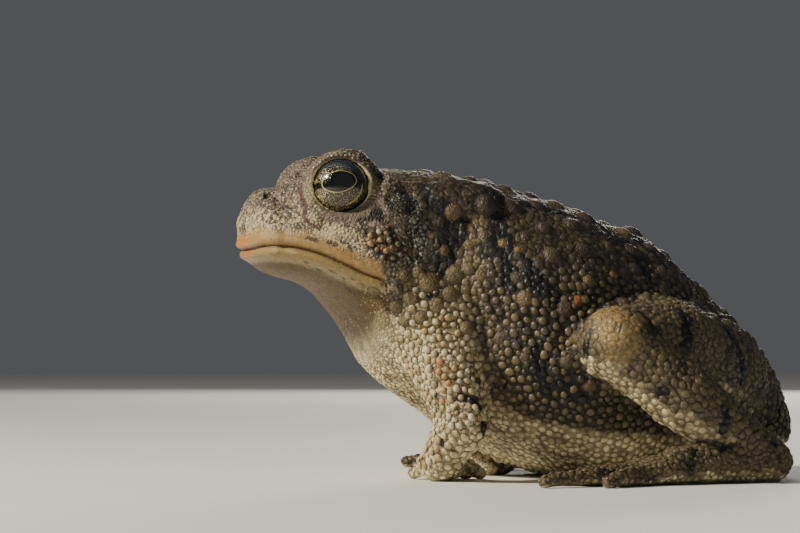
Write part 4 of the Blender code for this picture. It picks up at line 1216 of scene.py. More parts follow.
class Markings:
    """The ground colour and dark marks that the skin and its beads share."""

    def __init__(self, f, colours):
        self.f = f
        self.black, self.taupe, self.khaki, self.cream, self.lip, self.tan = (
            (*getattr(colours, name), 1.0) for name in ("dark", "taupe", "khaki", "cream", "lip", "face")
        )
        self.coarse, self.fine = f.noise(2.4, 3.0) - 0.5, f.noise(0.7, 3.0) - 0.5
        self.speckle = f.noise(0.42, 4.0, 0.6)
        self.arm, self.head, self.gape = f.mark("arm"), f.mark("face"), f.mark("gape")
        self.pale = f.smooth(f.mark("pale") + self.coarse * 0.9, 0.3, 0.7)
        self.front = f.smooth(f.mark("front") + self.coarse * 1.5, 1.0, -1.0) * f.mark("leg")
        self.cracked = f.smooth(f.mark("cracked") + self.coarse * 1.2, 0.8, -0.6)
        self.ember = f.smooth(f.mark("ember") + self.fine * 1.2, 0.5, -0.3)
        self.chin = f.smooth(self.gape + self.fine * 0.8, -1.9, -2.6)
        self.lips = f.smooth(self.gape + self.coarse * 1.2, 3.1, 2.0) * (1.0 - self.chin) * f.mark("jaw")
        self.dark = self.black_marks()
        self.dark_colour = f.mix(f.smooth(self.speckle, 0.55, 0.8) * 0.3, self.black, BROWN)
        self.ground = self.details(f.mix(self.head, self.body(), self.face()))

    def black_marks(self):
        """How far the drawn blotches, stray spots and the dark skin of the cheek cover the ground."""
        f = self.f
        blotch = f.mark("blotch") + self.coarse * 1.6 + self.fine * 1.2
        stray = f.smooth(f.noise(4.6, 4.0, 0.6), 0.60, 0.65) * (1.0 - f.mark("head")) * (1.0 - self.pale)
        dark = f.smooth(blotch, 0.25, -0.25).larger(stray * 0.8) * (1.0 - self.pale * 0.6)
        return dark.larger(f.mark("cheek") * f.smooth(self.fine, -0.12, 0.02) * 0.9)

    def body(self):
        """Brown and olive back with lighter ground between the blotches, and its glands, limbs and belly."""
        f, gland = self.f, self.f.mark("gland")
        light = f.smooth(f.mark("light") + self.coarse * 2.4, 1.4, -1.0)
        colour = f.mix(f.smooth(f.noise(5.5, 2.0), 0.35, 0.65), self.taupe, OLIVE)
        colour = f.mix(f.smooth(f.noise(1.6, 3.0), 0.45, 0.75) * 0.3, colour, self.khaki)
        colour = f.mix(gland * 0.85, colour, f.mix(f.smooth(self.speckle, 0.45, 0.65), UMBER, self.taupe))
        colour = f.mix(light * (1.0 - gland) * 0.85, colour, self.khaki)
        colour = f.mix(light * f.smooth(self.speckle, 0.45, 0.7) * 0.3, colour, GREY_CREAM)
        colour = f.mix(f.mark("leg") * 0.5, colour, self.khaki)
        colour = f.mix(self.arm * 0.8, colour, f.patches(1.8, self.cream, CLAY))
        colour = f.mix(self.front, colour, f.patches(2.2, CLAY, self.khaki))
        colour = f.mix(self.pale, colour, f.patches(1.8, self.cream, self.khaki, 0.75))
        return f.mix(self.cracked, colour, f.mix(f.smooth(self.speckle, 0.45, 0.6), UMBER, GREY_GREEN))

    def face(self):
        """Mottled tan snout, mauve above as partly painted shade, pale granules, grey round the eye, warm
        lips and an umber chin.
        """
        f, height, brow = self.f, self.gape, self.f.mark("brow")
        streaks = f.noise(0.55, 4.0, 0.7, 0.6, f.stretched(1.0, 1.0, 0.6))
        mottle = f.smooth(streaks + self.coarse * 0.35 + (f.noise(1.1, 2.0) - 0.5) * 0.3, 0.45, 0.51)
        chalk = f.smooth(f.mark("chalk") + self.fine * 1.2, 0.5, -0.6)
        # Darker towards mauve higher above the mouth: partly the skin's own colour, partly painted shade on
        # the top of the head
        colour = f.mix(f.smooth(height + self.coarse * 2.0, 4.0, 7.5) * 0.8, self.tan, MAUVE)
        colour = f.mix(mottle * (0.92 - chalk * 0.5), colour, BROWN)
        colour = f.mix(f.smooth(self.speckle, 0.58, 0.63) * (0.5 + chalk * 0.5), colour, GRANULE)
        colour = f.mix(brow * 0.9, colour, f.mix(f.smooth(self.speckle, 0.42, 0.6), MAUVE, BAG_GREY))
        behind = f.smooth(f.mark("back_of_eye") + self.coarse * 0.4, 0.35, 0.65)
        colour = f.mix(behind * 0.75, colour, f.mix(mottle, BAG_GREY, BROWN))
        round_eye = f.smooth(f.mark("lid"), 2.2, 0.6) * (1.0 - brow)
        colour = f.mix(round_eye * 0.6, colour, f.mix(mottle * 0.6, LID_GREEN, BAG_GREY))
        colour = f.mix(f.mark("bag") * 0.75 * (1.0 - chalk), colour, BAG_GREY)
        lower = f.mix(f.smooth(f.noise(1.2, 3.0), 0.35, 0.7) * 0.5, LOWER_LIP, self.lip)
        lips = f.mix(f.smooth(height, -0.1, -0.5), self.lip, lower)
        lips = f.mix(f.mark("snout") * 0.8, lips, ORANGE)
        lips = f.mix(f.smooth(self.speckle, 0.60, 0.66) * 0.35, lips, BROWN)
        colour = f.mix(self.lips * 0.92, colour, lips)
        colour = f.mix(self.chin, colour, f.mix(f.smooth(self.speckle, 0.5, 0.62) * 0.35, CHIN, BROWN))
        return f.mix(self.chin * f.smooth(height, -5.0, -9.0) * 0.6, colour, self.khaki)

    def details(self, colour):
        """The cracks of the throat, the eardrum, the dark lines (partly painted shade along the folds), the
        nostrils (painted shade) and the flecks of the chin.
        """
        f = self.f
        cracks = f.smooth(f.cells(1.9), 0.10, 0.03) * f.mark("throat") * f.smooth(self.gape, -3.5, -6.0)
        colour = f.mix(cracks * 0.65 * (1.0 - f.mark("deep")), colour, THROAT_CRACK_AND_SHADE)
        grey = f.mix(f.smooth(self.fine, 0.05, 0.2), BAG_GREY, GRANULE)
        colour = f.mix(f.mark("drum") * 0.9, colour, f.mix(f.smooth(self.speckle, 0.57, 0.67), DRUM, grey))
        # Dark lines in rust; along the folds they are partly painted shade in the crease
        colour = f.mix(f.smooth(f.mark("stroke") + self.fine * 0.5, 0.3, 0.75) * 0.85, colour, RUST)
        # Painted shade: the nostril openings are painted black
        colour = f.mix(f.smooth(f.mark("nostril") + self.fine * 0.4, 0.35, 0.7) * 0.9, colour, self.black)
        return f.mix(f.smooth(f.mark("fleck") + self.fine * 0.4, 0.22, 0.04) * 0.85, colour, BROWN)


# Light that goes a little way into the skin
FLESH_LIGHT = {"subsurface_weight": 0.05, "subsurface_scale": 0.001}


def skin_finish(colours):
    """Skin between the beads: markings, dark cracks of a fine network, wart pores, painted shade round each
    wart, along the mouth, on the low belly and in part on the flank, and moist gloss.
    """
    f = Finish("toad_skin")
    m = Markings(f, colours)
    wart, tone, rough_skin = f.mark("wart"), f.mark("tone"), 1.0 - m.head * 0.85
    on_wart = f.smooth(wart, 0.08, 0.2)
    colour = f.mix(m.dark, m.ground, m.dark_colour)

    cap = f.mix(f.smooth(tone, 0.35, 0.6), m.taupe, f.mix(0.5, m.taupe, m.khaki))
    cap = f.mix(f.smooth(tone, 0.88, 0.92) * 0.2, cap, PEACH)
    cap = f.mix(f.mark("neck"), cap, f.mix(f.smooth(tone, 0.3, 0.8), (*colours.wart, 1.0), m.khaki))
    colour = f.mix(on_wart * (1.0 - m.head * 0.3) * 0.85, colour, cap)
    colour = f.mix(on_wart * m.ember * 0.5, colour, f.mix(f.smooth(tone, 0.2, 0.8), ORANGE, PEACH))
    colour = f.mix(on_wart * f.smooth(m.speckle, 0.5, 0.62) * 0.4, colour, UMBER)
    # Painted shade in the moat round the foot of each wart, darkened towards umber
    colour = f.mix(on_wart * f.smooth(wart, 0.42, 0.16) * 0.65, colour, UMBER)
    pores = f.smooth(f.dots(0.9), 0.17, 0.1) * f.smooth(wart, 0.3, 0.45)
    colour = f.mix(pores * 0.85, colour, m.black)

    # The flank between the beads darkened towards black: partly the dark skin between them, partly painted
    # shade of the flank
    colour = f.mix(f.mark("flank") * (1.0 - on_wart) * 0.7, colour, m.black)
    crack = f.smooth(f.cells(1.3), 0.09, 0.02) * (1.0 - on_wart)
    slits = f.smooth(f.cells(1.0, f.stretched(1.3, 1.3, 0.35)), 0.12, 0.04) * m.cracked
    cracks = crack * rough_skin * (1.0 - m.pale * 0.6) * (1.0 - m.front * 0.7)
    colour = f.mix((cracks * 0.8).larger(slits * 0.9), colour, m.black)
    # Painted shade: the pale skin of the low belly, under the body, is darkened towards brown
    colour = f.mix(m.pale * (1.0 - m.head) * f.mark("deep") * 0.55, colour, THROAT_CRACK_AND_SHADE)
    colour = f.mix(f.smooth(f.mark("lid"), 0.65, 0.5) * 0.95, colour, LID_EDGE)
    # Painted shade along the groove of the mouth, in rust
    mouth = f.band(m.gape + m.fine * 0.1, -0.3, -0.1, 0.1, 0.3)
    colour = f.mix(mouth * f.mark("jaw") * 0.85, colour, RUST)

    folds = f.smooth(f.cells(0.55, f.stretched(0.35, 1.0, 1.0)), 0.12, 0.0) * f.mark("bag")
    height = f.smooth(f.cells(1.3), 0.0, 0.25) * 0.18 * rough_skin * (1.0 - on_wart)
    height = height + f.noise(0.30, 4.0, 0.65) * (0.14 - m.lips * 0.08 + m.head * 0.10)
    height = height + f.noise(0.9, 2.0) * 0.12
    height = height + f.smooth(f.cells(0.5), 0.0, 0.3) * (on_wart * 0.08 + m.head * (1.0 - m.lips) * 0.12)
    height = height - pores * 0.12 - slits * 0.14 - folds * 0.05
    rough = 0.44 + m.fine * 0.3 + crack * 0.1 - m.lips * 0.08
    return f.apply(colour, rough, height, 0.8, specular_ior_level=0.42, **FLESH_LIGHT)


def bead_finish(colours):
    """Beads and granules: the ground under each, a painted highlight on the crown, darker round the foot
    partly as painted shade, some of them orange or pale.
    """
    f = Finish("toad_beads")
    m = Markings(f, colours)
    size, luck, crown = f.mark("radius"), f.mark("luck"), f.mark("crown")
    colour = f.mix(f.mark("flank") * 0.8, m.ground, f.mix(f.smooth(luck, 0.1, 0.9), OLIVE, m.khaki))
    limb = f.mix(f.smooth(luck, 0.2, 1.0), GREY_CREAM, CLAY)
    colour = f.mix(m.arm * (1.0 - m.pale) * 0.7, colour, limb)
    spared = f.smooth(luck, 0.74, 0.78) * (1.0 - m.head * 0.6) * f.smooth(f.mark("back"), 1.0, 0.4)
    colour = f.mix(m.dark * (1.0 - spared * 0.85), colour, m.dark_colour)
    chalky = m.head * f.smooth(luck, 0.6, 0.9) * (1.0 - m.dark) * f.smooth(crown, 0.2, 0.8)
    colour = f.mix(chalky * 0.4, colour, GRANULE)
    cheek = f.mark("cheek") * f.smooth(size, 0.24, 0.32)
    spot = f.mix(f.smooth(luck, 0.45, 0.5), f.mix(f.smooth(luck, 0.2, 0.25), BAG_GREY, m.khaki), PEACH)
    colour = f.mix(cheek * 0.85, colour, f.mix(f.smooth(luck, 0.8, 0.85), spot, GREY_CREAM))
    burning = m.ember * f.smooth(size, 0.26, 0.34) * m.arm * f.smooth(luck, 0.72, 0.6)
    colour = f.mix(burning * 0.85, colour, f.mix(luck * 1.6, EMBER, EMBER_LIGHT))
    # Darker round each bead's foot: partly the dark skin between the beads, partly painted shade
    foot_gap_and_shade = f.smooth(crown, 0.5, 0.05)
    below = f.mix(m.pale.larger(m.arm), m.black, f.mix(m.head, THROAT_CRACK_AND_SHADE, BROWN))
    colour = f.mix(foot_gap_and_shade * (0.75 - 0.35 * m.head), colour, below)
    # Painted highlight: the crown of each bead is lightened towards white
    colour = f.mix(f.smooth(crown, 0.5, 1.0) * 0.15, colour, WHITE, "SOFT_LIGHT")
    pore = f.smooth(crown, 0.95, 0.985) * f.smooth(size, 0.66, 0.74)
    colour = f.mix(pore * 0.8, colour, m.black)
    rough = 0.40 + m.fine * 0.2 + foot_gap_and_shade * 0.15
    return f.apply(colour, rough, f.noise(0.3, 3.0, 0.6) * 0.07, 0.7, specular_ior_level=0.5, **FLESH_LIGHT)


def eye_finish(eyes):
    """Black oval pupil with a thin yellow rim in a dark iris full of gold flecks, under a wet clear coat."""
    f = Finish("toad_eye")
    across, up = f.mark("eye_fore"), f.mark("eye_up")
    wide, tall = eyes.pupil_width / 2 / MM, eyes.pupil_height / 2 / MM
    # The pupil's corners are a little pointed and its rear one sits higher
    oval = (((across / wide) ** 2) ** 0.85 + ((up + across * 0.10) / tall) ** 2) ** 0.5
    ring = (across**2 + up**2) ** 0.5
    fine, grain, veins = f.noise(0.15, 3.0, 0.6), f.noise(0.5, 3.0, 0.6), f.noise(0.22, 3.0, 0.6, 1.5)

    # Parts of the iris, and the dark bar through it
    below = f.smooth(up + across * 0.12, -0.7, -1.3)
    above = f.smooth(up, 0.7, 1.2) * f.smooth(ring - across * 0.12, 2.95, 2.6)
    front = f.smooth(across, 1.6, 2.4) * f.smooth(ring, 4.0, 3.6)
    rear = f.smooth(across, -1.9, -2.7) * (1.0 - below)
    bar = f.smooth((up + across * 0.10 + 0.15) ** 2, 0.30, 0.06) * f.smooth(across**2, 3.0, 5.0)
    # Painted reflection of the sky: bluish on the top and rear of the iris
    blue = f.smooth(up, 1.2, 2.4).larger(f.smooth(across, -1.8, -3.0) * 0.6)
    colour = f.mix(blue, IRIS_BROWN, IRIS_SKY_REFLECTION)
    colour = f.mix(below * 0.6, colour, IRIS_WARM)
    colour = f.mix(front * 0.6, colour, IRIS_GREEN)

    rich = below * 0.028 + above * 0.03 + front * 0.05 - rear * 0.12
    flecks = f.smooth(fine + rich + (grain - 0.5) * 0.2, 0.55, 0.61) * f.smooth(f.dots(0.17), 0.62, 0.42)
    upper_edge = f.smooth(ring * f.smooth(up, 0.0, 1.0) - across * 0.12, 3.05, 2.7)
    held = f.smooth(ring, 3.95, 3.75) * (1.0 - bar) * upper_edge
    gold = f.mix(f.smooth(veins, 0.5, 0.62), (*eyes.gold, 1.0), IRIS_PALE)
    colour = f.mix(flecks * held, colour, gold)
    colour = f.mix(bar * f.smooth(ring, 3.9, 3.6), colour, PUPIL_BLACK)
    arc = f.band(ring, 3.22, 3.3, 3.36, 3.44) * f.smooth(up, 0.3, -0.5) * f.smooth(across, -0.6, -1.6)
    colour = f.mix(arc * 0.8, colour, IRIS_ARC)
    rim = f.smooth(oval + (grain - 0.5) * 0.04, 1.0, 1.015) * f.smooth(oval, 1.075, 1.045)
    colour = f.mix(rim * (0.6 + 0.35 * below), colour, PUPIL_RIM)
    colour = f.mix(f.smooth(oval, 1.02, 0.99), colour, PUPIL_BLACK)
    limbus = f.smooth(ring, 3.7, 3.85) * f.smooth(across, 0.8, -1.0)
    colour = f.mix(limbus.larger(f.smooth(ring, 3.95, 4.08)), colour, LIMBUS_BLACK)
    return f.apply(colour, 0.16, flecks * 0.02, 0.3, coat_weight=1.0, coat_roughness=0.02, coat_ior=1.38)


def floor_finish(colour):
    f = Finish("studio_floor")
    return f.apply(f.mix(f.noise(60.0, 3.0) * 0.15, (*colour, 1.0), WHITE), 0.7)


# Sides of a bead's dome, and radius and height of each of its rings. Its low point is at BEAD_ROOT
BEAD_LEVELS = {
    "bead": (7, [(1.0, 0.0), (0.8, 0.58), (0.42, 0.9)]),
    "granule": (6, [(1.0, 0.0), (0.62, 0.76)]),
}
BEAD_ROOT = -0.45
# Radius in mm from which a spot gets a bead and not a granule
BEAD_SPLIT = 0.38
BEAD_INPUTS = (
    ("Geometry", "Geometry", None),
    ("Bead", "Object", None),
    ("Granule", "Object", None),
    ("Split", "Float", BEAD_SPLIT),
    ("Size", "Float", 1.0),
    ("Uneven", "Float", 0.08),
    ("Patch", "Float", 0.0015),
    ("Seed", "Int", SEED),
    ("Finish", "Material", None),
)


def mesh_from(name, shape):
    mesh = bpy.data.meshes.new(name)
    shape.to_mesh(mesh)
    shape.free()
    return mesh


def bead_form(name):
    """A dome 1 high and 2 across with a low point below it. A granule has fewer faces than a bead."""
    sides, levels = BEAD_LEVELS[name]
    shape = bmesh.new()
    rings = []
    for radius, height in levels:
        angles = [2 * math.pi * i / sides for i in range(sides)]
        rings.append([shape.verts.new((radius * math.cos(a), radius * math.sin(a), height)) for a in angles])
    top, bottom = shape.verts.new((0.0, 0.0, 1.0)), shape.verts.new((0.0, 0.0, BEAD_ROOT))
    for i in range(sides):
        j = (i + 1) % sides
        for lower, upper in zip(rings[:-1], rings[1:]):
            shape.faces.new((lower[i], lower[j], upper[j], upper[i]))
        shape.faces.new((rings[-1][i], rings[-1][j], top))
        shape.faces.new((rings[0][j], rings[0][i], bottom))
    mesh = mesh_from(name, shape)
    places = vertices_of(mesh)
    store(mesh, "bead_place", places, "FLOAT_VECTOR")
    store(mesh, "crown", np.clip(places[:, 2], 0.0, 1.0))
    return new_object(name, mesh)


def bead_tree():
    """Geometry Nodes that set a bead on every point, turn it to the skin and lay out its patch of the OFBake
    map.
    """
    tree = bpy.data.node_groups.new("beads_on_skin", "GeometryNodeTree")
    for name, kind, value in BEAD_INPUTS:
        socket = tree.interface.new_socket(name=name, in_out="INPUT", socket_type=f"NodeSocket{kind}")
        if value is not None:
            socket.default_value = value
    tree.interface.new_socket(name="Geometry", in_out="OUTPUT", socket_type="NodeSocketGeometry")
    g = Graph(tree)
    given = tree.nodes.new("NodeGroupInput")
    inputs = {name: Link(g, given.outputs[name]) for name, _, _ in BEAD_INPUTS}

    def attribute(name, kind="FLOAT"):
        return g.node("GeometryNodeInputNamedAttribute", {"data_type": kind}, {"Name": name})

    def vector_maths(operation, values):
        return g.node("ShaderNodeVectorMath", {"operation": operation}, values)

    luck = {2: -1.0, 3: 1.0, "Seed": inputs["Seed"]}
    luck = g.node("FunctionNodeRandomValue", {"data_type": "FLOAT"}, luck, 1)
    size = attribute("radius") * inputs["Size"] * (1.0 + luck * inputs["Uneven"])
    scale = {0: size * attribute("stretch"), 1: size, 2: size * attribute("rise")}
    scale = g.node("ShaderNodeCombineXYZ", {}, scale)
    out = attribute("out", "FLOAT_VECTOR")
    turn = g.node("FunctionNodeAlignRotationToVector", {"axis": "Z"}, {"Vector": out})
    spin = {"Axis": (0.0, 0.0, 1.0), "Angle": attribute("spin")}
    spin = g.node("FunctionNodeAxisAngleToRotation", {}, spin)
    turn = g.node("FunctionNodeRotateRotation", {"rotation_space": "LOCAL"}, {0: turn, 1: spin})
    joined = tree.nodes.new("GeometryNodeJoinGeometry")
    for kind, comparison in (("Bead", "GREATER_EQUAL"), ("Granule", "LESS_THAN")):
        chosen = {"data_type": "FLOAT", "operation": comparison}
        chosen = g.node("FunctionNodeCompare", chosen, {0: attribute("radius"), 1: inputs["Split"]})
        form = g.node("GeometryNodeObjectInfo", {}, {"Object": inputs[kind]}, "Geometry")
        values = {"Points": inputs["Geometry"], "Selection": chosen, "Instance": form}
        values.update({"Rotation": turn, "Scale": scale})
        beads = g.node("GeometryNodeInstanceOnPoints", {}, values)
        tree.links.new(beads.socket, joined.inputs[0])
    beads = g.node("GeometryNodeRealizeInstances", {}, {"Geometry": Link(g, joined.outputs[0])})
    patch = vector_maths("SCALE", {0: attribute("bead_place", "FLOAT_VECTOR"), "Scale": inputs["Patch"]})
    layout = vector_maths("ADD", {0: attribute("root", "FLOAT_VECTOR"), 1: patch})
    kept = {"data_type": "FLOAT2", "domain": "CORNER"}
    values = {"Geometry": beads, "Name": "OFBake", "Value": layout}
    beads = g.node("GeometryNodeStoreNamedAttribute", kept, values)
    beads = g.node("GeometryNodeSetShadeSmooth", {}, {"Geometry": beads})
    beads = g.node("GeometryNodeSetMaterial", {}, {"Geometry": beads, "Material": inputs["Finish"]})
    last = tree.nodes.new("NodeGroupOutput")
    tree.links.new(beads.socket, last.inputs["Geometry"])
    return tree


def grown(name, mesh, tree, values):
    """Runs the tree on a mesh with the given inputs and returns the result as a plain mesh."""
    helper = new_object(name, mesh)
    step = helper.modifiers.new("beads", "NODES")
    step.node_group = tree
    names = {item.name: item.identifier for item in tree.interface.items_tree if item.in_out == "INPUT"}
    for key, value in values.items():
        step[names[key]] = value
    result = evaluated_mesh(helper)
    discard(helper)
    return result


# From millimetres of this script to metres of the frame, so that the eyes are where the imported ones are
EYE_MIDDLE = sum((np.array(corner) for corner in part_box("eye_left")), np.zeros(3)) / 2
SHIFT = EYE_MIDDLE - np.array(mirrored(EYE_CENTRE, -1)) * MM
INTO_FRAME = Matrix.Translation(SHIFT) @ Matrix.Scale(MM, 4)
FLESH = sorted(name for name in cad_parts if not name.startswith("eye_"))
# Fewest and most faces that a right skin can have
SKIN_FACES = (50000, 200000)
# The skin before it is placed and the names of its marks, left by the skin's operator for the beads
FOR_BEADS = {}


def finished(name, mesh, finish=None):
    """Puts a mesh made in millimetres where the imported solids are, as a piece that rides on the toad."""
    mesh.transform(INTO_FRAME)
    mesh.name = name
    if finish is not None:
        mesh.materials.clear()
        mesh.materials.append(finish)
    made = new_object(name, mesh)
    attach(made, "root")
    return made


def length_setting(name, description, millimetres, **limits):
    return FloatProperty(
        name=name, description=description, default=millimetres * MM, subtype="DISTANCE", unit="LENGTH",
        precision=5, **limits,
    )


def share_setting(name, description, value, low, high):
    return FloatProperty(
        name=name, description=description, default=value, min=low, max=high, subtype="FACTOR"
    )


def colour_setting(name, description, colour):
    return FloatVectorProperty(
        name=name, description=description, default=colour[:3], subtype="COLOR", min=0.0, max=1.0
    )


class SkinSettings(bpy.types.PropertyGroup):
    grid: length_setting("Grid", "Distance between samples of the skin", 0.28, min=0.15 * MM)
    triangles: IntProperty(name="Triangles", description="Triangles of the skin", default=188000, max=199000)
    khaki: colour_setting("Khaki", "Light ground between the dark marks", tint(112, 98, 68))
    taupe: colour_setting("Taupe", "Brown ground of the back", tint(68, 57, 50))
    dark: colour_setting("Dark", "Black marks", tint(25, 22, 24))
    cream: colour_setting("Cream", "Throat and belly", tint(238, 224, 180))
    face: colour_setting("Face", "Sides of the snout", tint(192, 174, 138))
    lip: colour_setting("Lip", "Lips", tint(162, 130, 80))
    wart: colour_setting("Wart", "Large warts of the neck", tint(106, 91, 59))


class BeadSettings(bpy.types.PropertyGroup):
    size: share_setting("Size", "Size of every bead against the measured one", 1.0, 0.5, 1.5)
    uneven: share_setting("Uneven", "How far beads of one place differ in size", 0.08, 0.0, 0.3)
    tries: IntProperty(
        name="Tries", description="Places tried for a bead over the whole skin", default=330000
    )


class EyeSettings(bpy.types.PropertyGroup):
    radius: length_setting("Radius", "Radius of the eyeball", EYE_RADIUS)
    cornea: length_setting("Cornea", "How far the clear front bulges", 0.22)
    pupil_width: length_setting("Pupil width", "Width of the oval pupil", 4.8)
    pupil_height: length_setting("Pupil height", "Height of the oval pupil", 3.1)
    gold: colour_setting("Gold", "Flecks of the iris", tint(182, 160, 92))


class StageSettings(bpy.types.PropertyGroup):
    floor_colour: colour_setting("Floor", "Colour of the studio floor", (0.78, 0.77, 0.74))
    key_power: FloatProperty(
        name="Key light", description="Power of the large soft light", default=7.4, unit="POWER"
    )
    lens: FloatProperty(
        name="Lens", description="Focal length of the camera, in millimetres", default=135.0, unit="CAMERA"
    )


class TOAD_OT_skin(bpy.types.Operator):
    """Make the one skin of head, trunk and limbs with its lids, lips, nostrils, folds and large warts"""

    bl_idname = "toad.skin"
    bl_label = "Skin"

    def execute(self, context):
        settings = context.scene.toad_skin
        step = settings.grid / MM
        field, axes = sampled(skin, FIELD_LOW, FIELD_HIGH, step)
        warts = large_warts()
        swell(field, axes, step, warts)
        mesh = thinned(largest_body(polygons("skin", field, axes, step)), settings.triangles)
        if not SKIN_FACES[0] < len(mesh.polygons) < SKIN_FACES[1]:
            raise RuntimeError(f"the skin came out with {len(mesh.polygons)} faces")
        found = marks(vertices_of(mesh), vertices_of(mesh, "normal"), warts)
        for name, values in found.items():
            store(mesh, name, values)
        mesh.shade_smooth()
        FOR_BEADS.update(body=mesh.copy(), marks=list(found))
        piece = finished("skin", mesh, skin_finish(settings))
        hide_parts(*FLESH)
        return {"FINISHED"}


BEAD_PARTS = ("head", "throat", "back_left", "back_right", "arm_left", "arm_right", "leg_left", "leg_right")
# Most triangles that the beads of one part may have
PIECE_LIMIT = 185000
# How deep under the skin a bead is rooted, in mm
BEAD_SINK = 0.04
# What only placing the beads needs
ROOT_ONLY = ("out", "root", "rise", "stretch", "spin", "bead_place")


def bead_part(p, found):
    """Which part of the body each bead belongs to, as an index into BEAD_PARTS."""
    side = (p[:, 1] > 0).astype(int)
    part = 2 + side
    part = np.where(found["pale"] > 0.5, 1, part)
    part = np.where(found["head"] > 0.5, 0, part)
    part = np.where(found["arm"] > 0.5, 4 + side, part)
    return np.where(found["leg"] > 0.5, 6 + side, part)


def bead_roots(p, normals, flat, values):
    """Points just under the skin, each with what its bead needs to know."""
    roots = bpy.data.meshes.new("roots")
    roots.vertices.add(len(p))
    roots.vertices.foreach_set("co", (p - normals * BEAD_SINK).astype(np.float32).ravel())
    for name, numbers in values.items():
        store(roots, name, numbers)
    store(roots, "out", normals, "FLOAT_VECTOR")
    store(roots, "root", np.c_[flat, np.zeros(len(p))], "FLOAT_VECTOR")
    return roots


class TOAD_OT_beads(bpy.types.Operator):
    """Set beads and granules all over the skin, sized as on each part of the body"""

    bl_idname = "toad.beads"
    bl_label = "Beads"

    def execute(self, context):
        settings = context.scene.toad_beads
        if not FOR_BEADS:
            raise RuntimeError("make the skin first")
        body = FOR_BEADS.pop("body")
        rng = np.random.default_rng(SEED + 2)
        p, normals, read = spots_on(body, settings.tries, rng)
        found = {name: read(stored(body, name).astype(float)) for name in FOR_BEADS.pop("marks")}
        radii, spread, rise, spacing = bead_measures(p, found)
        radii = radii * np.clip(np.exp(rng.normal(size=len(p)) * spread), *BEAD_RANGE)
        radii = np.where(bare_spots(p, found, rng), 0.0, radii)
        kept = scatter(p, radii, spacing)
        p, normals, radii, rise = p[kept], normals[kept], radii[kept], rise[kept]
        found = {name: values[kept] for name, values in found.items()}
        flat, part = unwrap(p, normals, found), bead_part(p, found)
        found["radius"] = radii
        found["rise"] = rise * rng.uniform(0.85, 1.15, len(p))
        found["stretch"] = rng.uniform(0.92, 1.25, len(p))
        found["spin"] = rng.uniform(0.0, 2 * math.pi, len(p))
        found["luck"] = rng.uniform(size=len(p))
        bead, granule, tree = bead_form("bead"), bead_form("granule"), bead_tree()
        given = {"Bead": bead, "Granule": granule, "Size": settings.size, "Uneven": settings.uneven}
        given["Finish"] = bead_finish(context.scene.toad_skin)
        for index, name in enumerate(BEAD_PARTS):
            # From snout to rump
            here = np.flatnonzero(part == index)
            here = here[np.argsort(p[here, 0], kind="stable")]
            values = {key: numbers[here] for key, numbers in found.items()}
            roots = bead_roots(p[here], normals[here], flat[here], values)
            mesh = grown(f"beads_{name}", roots, tree, {**given, "Seed": SEED + index})
            if len(mesh.loops) - 2 * len(mesh.polygons) > PIECE_LIMIT:
                raise RuntimeError(f"beads_{name} has too many triangles")
            for spare in ROOT_ONLY:
                layer = mesh.attributes.get(spare)
                if layer is not None:
                    mesh.attributes.remove(layer)
            finished(f"beads_{name}", mesh)
        discard(bead)
        discard(granule)
        bpy.data.meshes.remove(body)
        return {"FINISHED"}


EYE_SEGMENTS = (96, 64)
# How far from the pupil's middle the clear front bulges
CORNEA_DEGREES = 48.0


def eyeball(settings, side):
    """A ball whose clear front bulges round the pupil, with each point's place across and up the iris."""
    axis = unit(mirrored(PUPIL_AXIS, side))
    up = unit(np.array((0.0, 0.0, 1.0)) - axis[2] * axis)
    fore = np.cross(up, axis) * side
    radius = settings.radius / MM
    shape = bmesh.new()
    bmesh.ops.create_uvsphere(shape, u_segments=EYE_SEGMENTS[0], v_segments=EYE_SEGMENTS[1], radius=radius)
    turn = Vector(axis).to_track_quat("Z", "Y").to_matrix().to_4x4()
    bmesh.ops.transform(shape, matrix=turn, verts=shape.verts)
    mesh = mesh_from("eye", shape)
    places = vertices_of(mesh)
    lean = np.degrees(np.arccos(np.clip(places @ axis / np.linalg.norm(places, axis=1), -1.0, 1.0)))
    bulge = settings.cornea / MM * np.clip(1.0 - (lean / CORNEA_DEGREES) ** 2, 0.0, 1.0) ** 2
    places *= (1.0 + bulge / radius)[:, None]
    store(mesh, "eye_fore", places @ fore)
    store(mesh, "eye_up", places @ up)
    places += np.array(mirrored(EYE_CENTRE, side))
    mesh.vertices.foreach_set("co", places.astype(np.float32).ravel())
    mesh.shade_smooth()
    return mesh


class TOAD_OT_eyes(bpy.types.Operator):
    """Make both eyes, each a wet ball with an oval pupil and a gold-flecked iris"""

    bl_idname = "toad.eyes"
    bl_label = "Eyes"

    def execute(self, context):
        settings = context.scene.toad_eyes
        finish = eye_finish(settings)
        for word, side in (("left", -1), ("right", 1)):
            piece = finished(f"eyeball_{word}", eyeball(settings, side), finish)
            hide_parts(f"eye_{word}")
        return {"FINISHED"}


# The camera looks at TARGET from low down in front of the toad's left side
TARGET = (-15.6, 0.0, 31.6)
CAMERA_TURN = -15.0
CAMERA_REACH = 450.0
CAMERA_HEIGHT = 20.0
SENSOR_WIDTH, CLIP_START = 36.0, 0.01
# Soft lights: name, place in metres, size in metres, share of the key's power, colour
LIGHTING = [
    ("key", (-0.56, -0.04, 0.43), 0.07, 1.0, (1.0, 0.93, 0.76)),
    ("fill", (0.05, -0.80, 0.25), 1.6, 0.10, (0.90, 0.94, 1.0)),
    ("rim", (0.30, 0.75, 0.25), 0.25, 0.22, (1.0, 0.94, 0.84)),
]
WORLD_COLOUR, WORLD_STRENGTH = (0.80, 0.82, 0.86, 1.0), 0.11
# Half the floor's width in metres, and how far under the toad it lies, in mm
FLOOR_SIZE, FLOOR_DROP = 1.5, 0.05


def aimed(name, data, place, aim):
    """A light or camera at a place, turned to look at another."""
    made = new_object(name, data)
    made.location = place
    made.rotation_euler = (Vector(aim) - made.location).to_track_quat("-Z", "Y").to_euler()
    return made


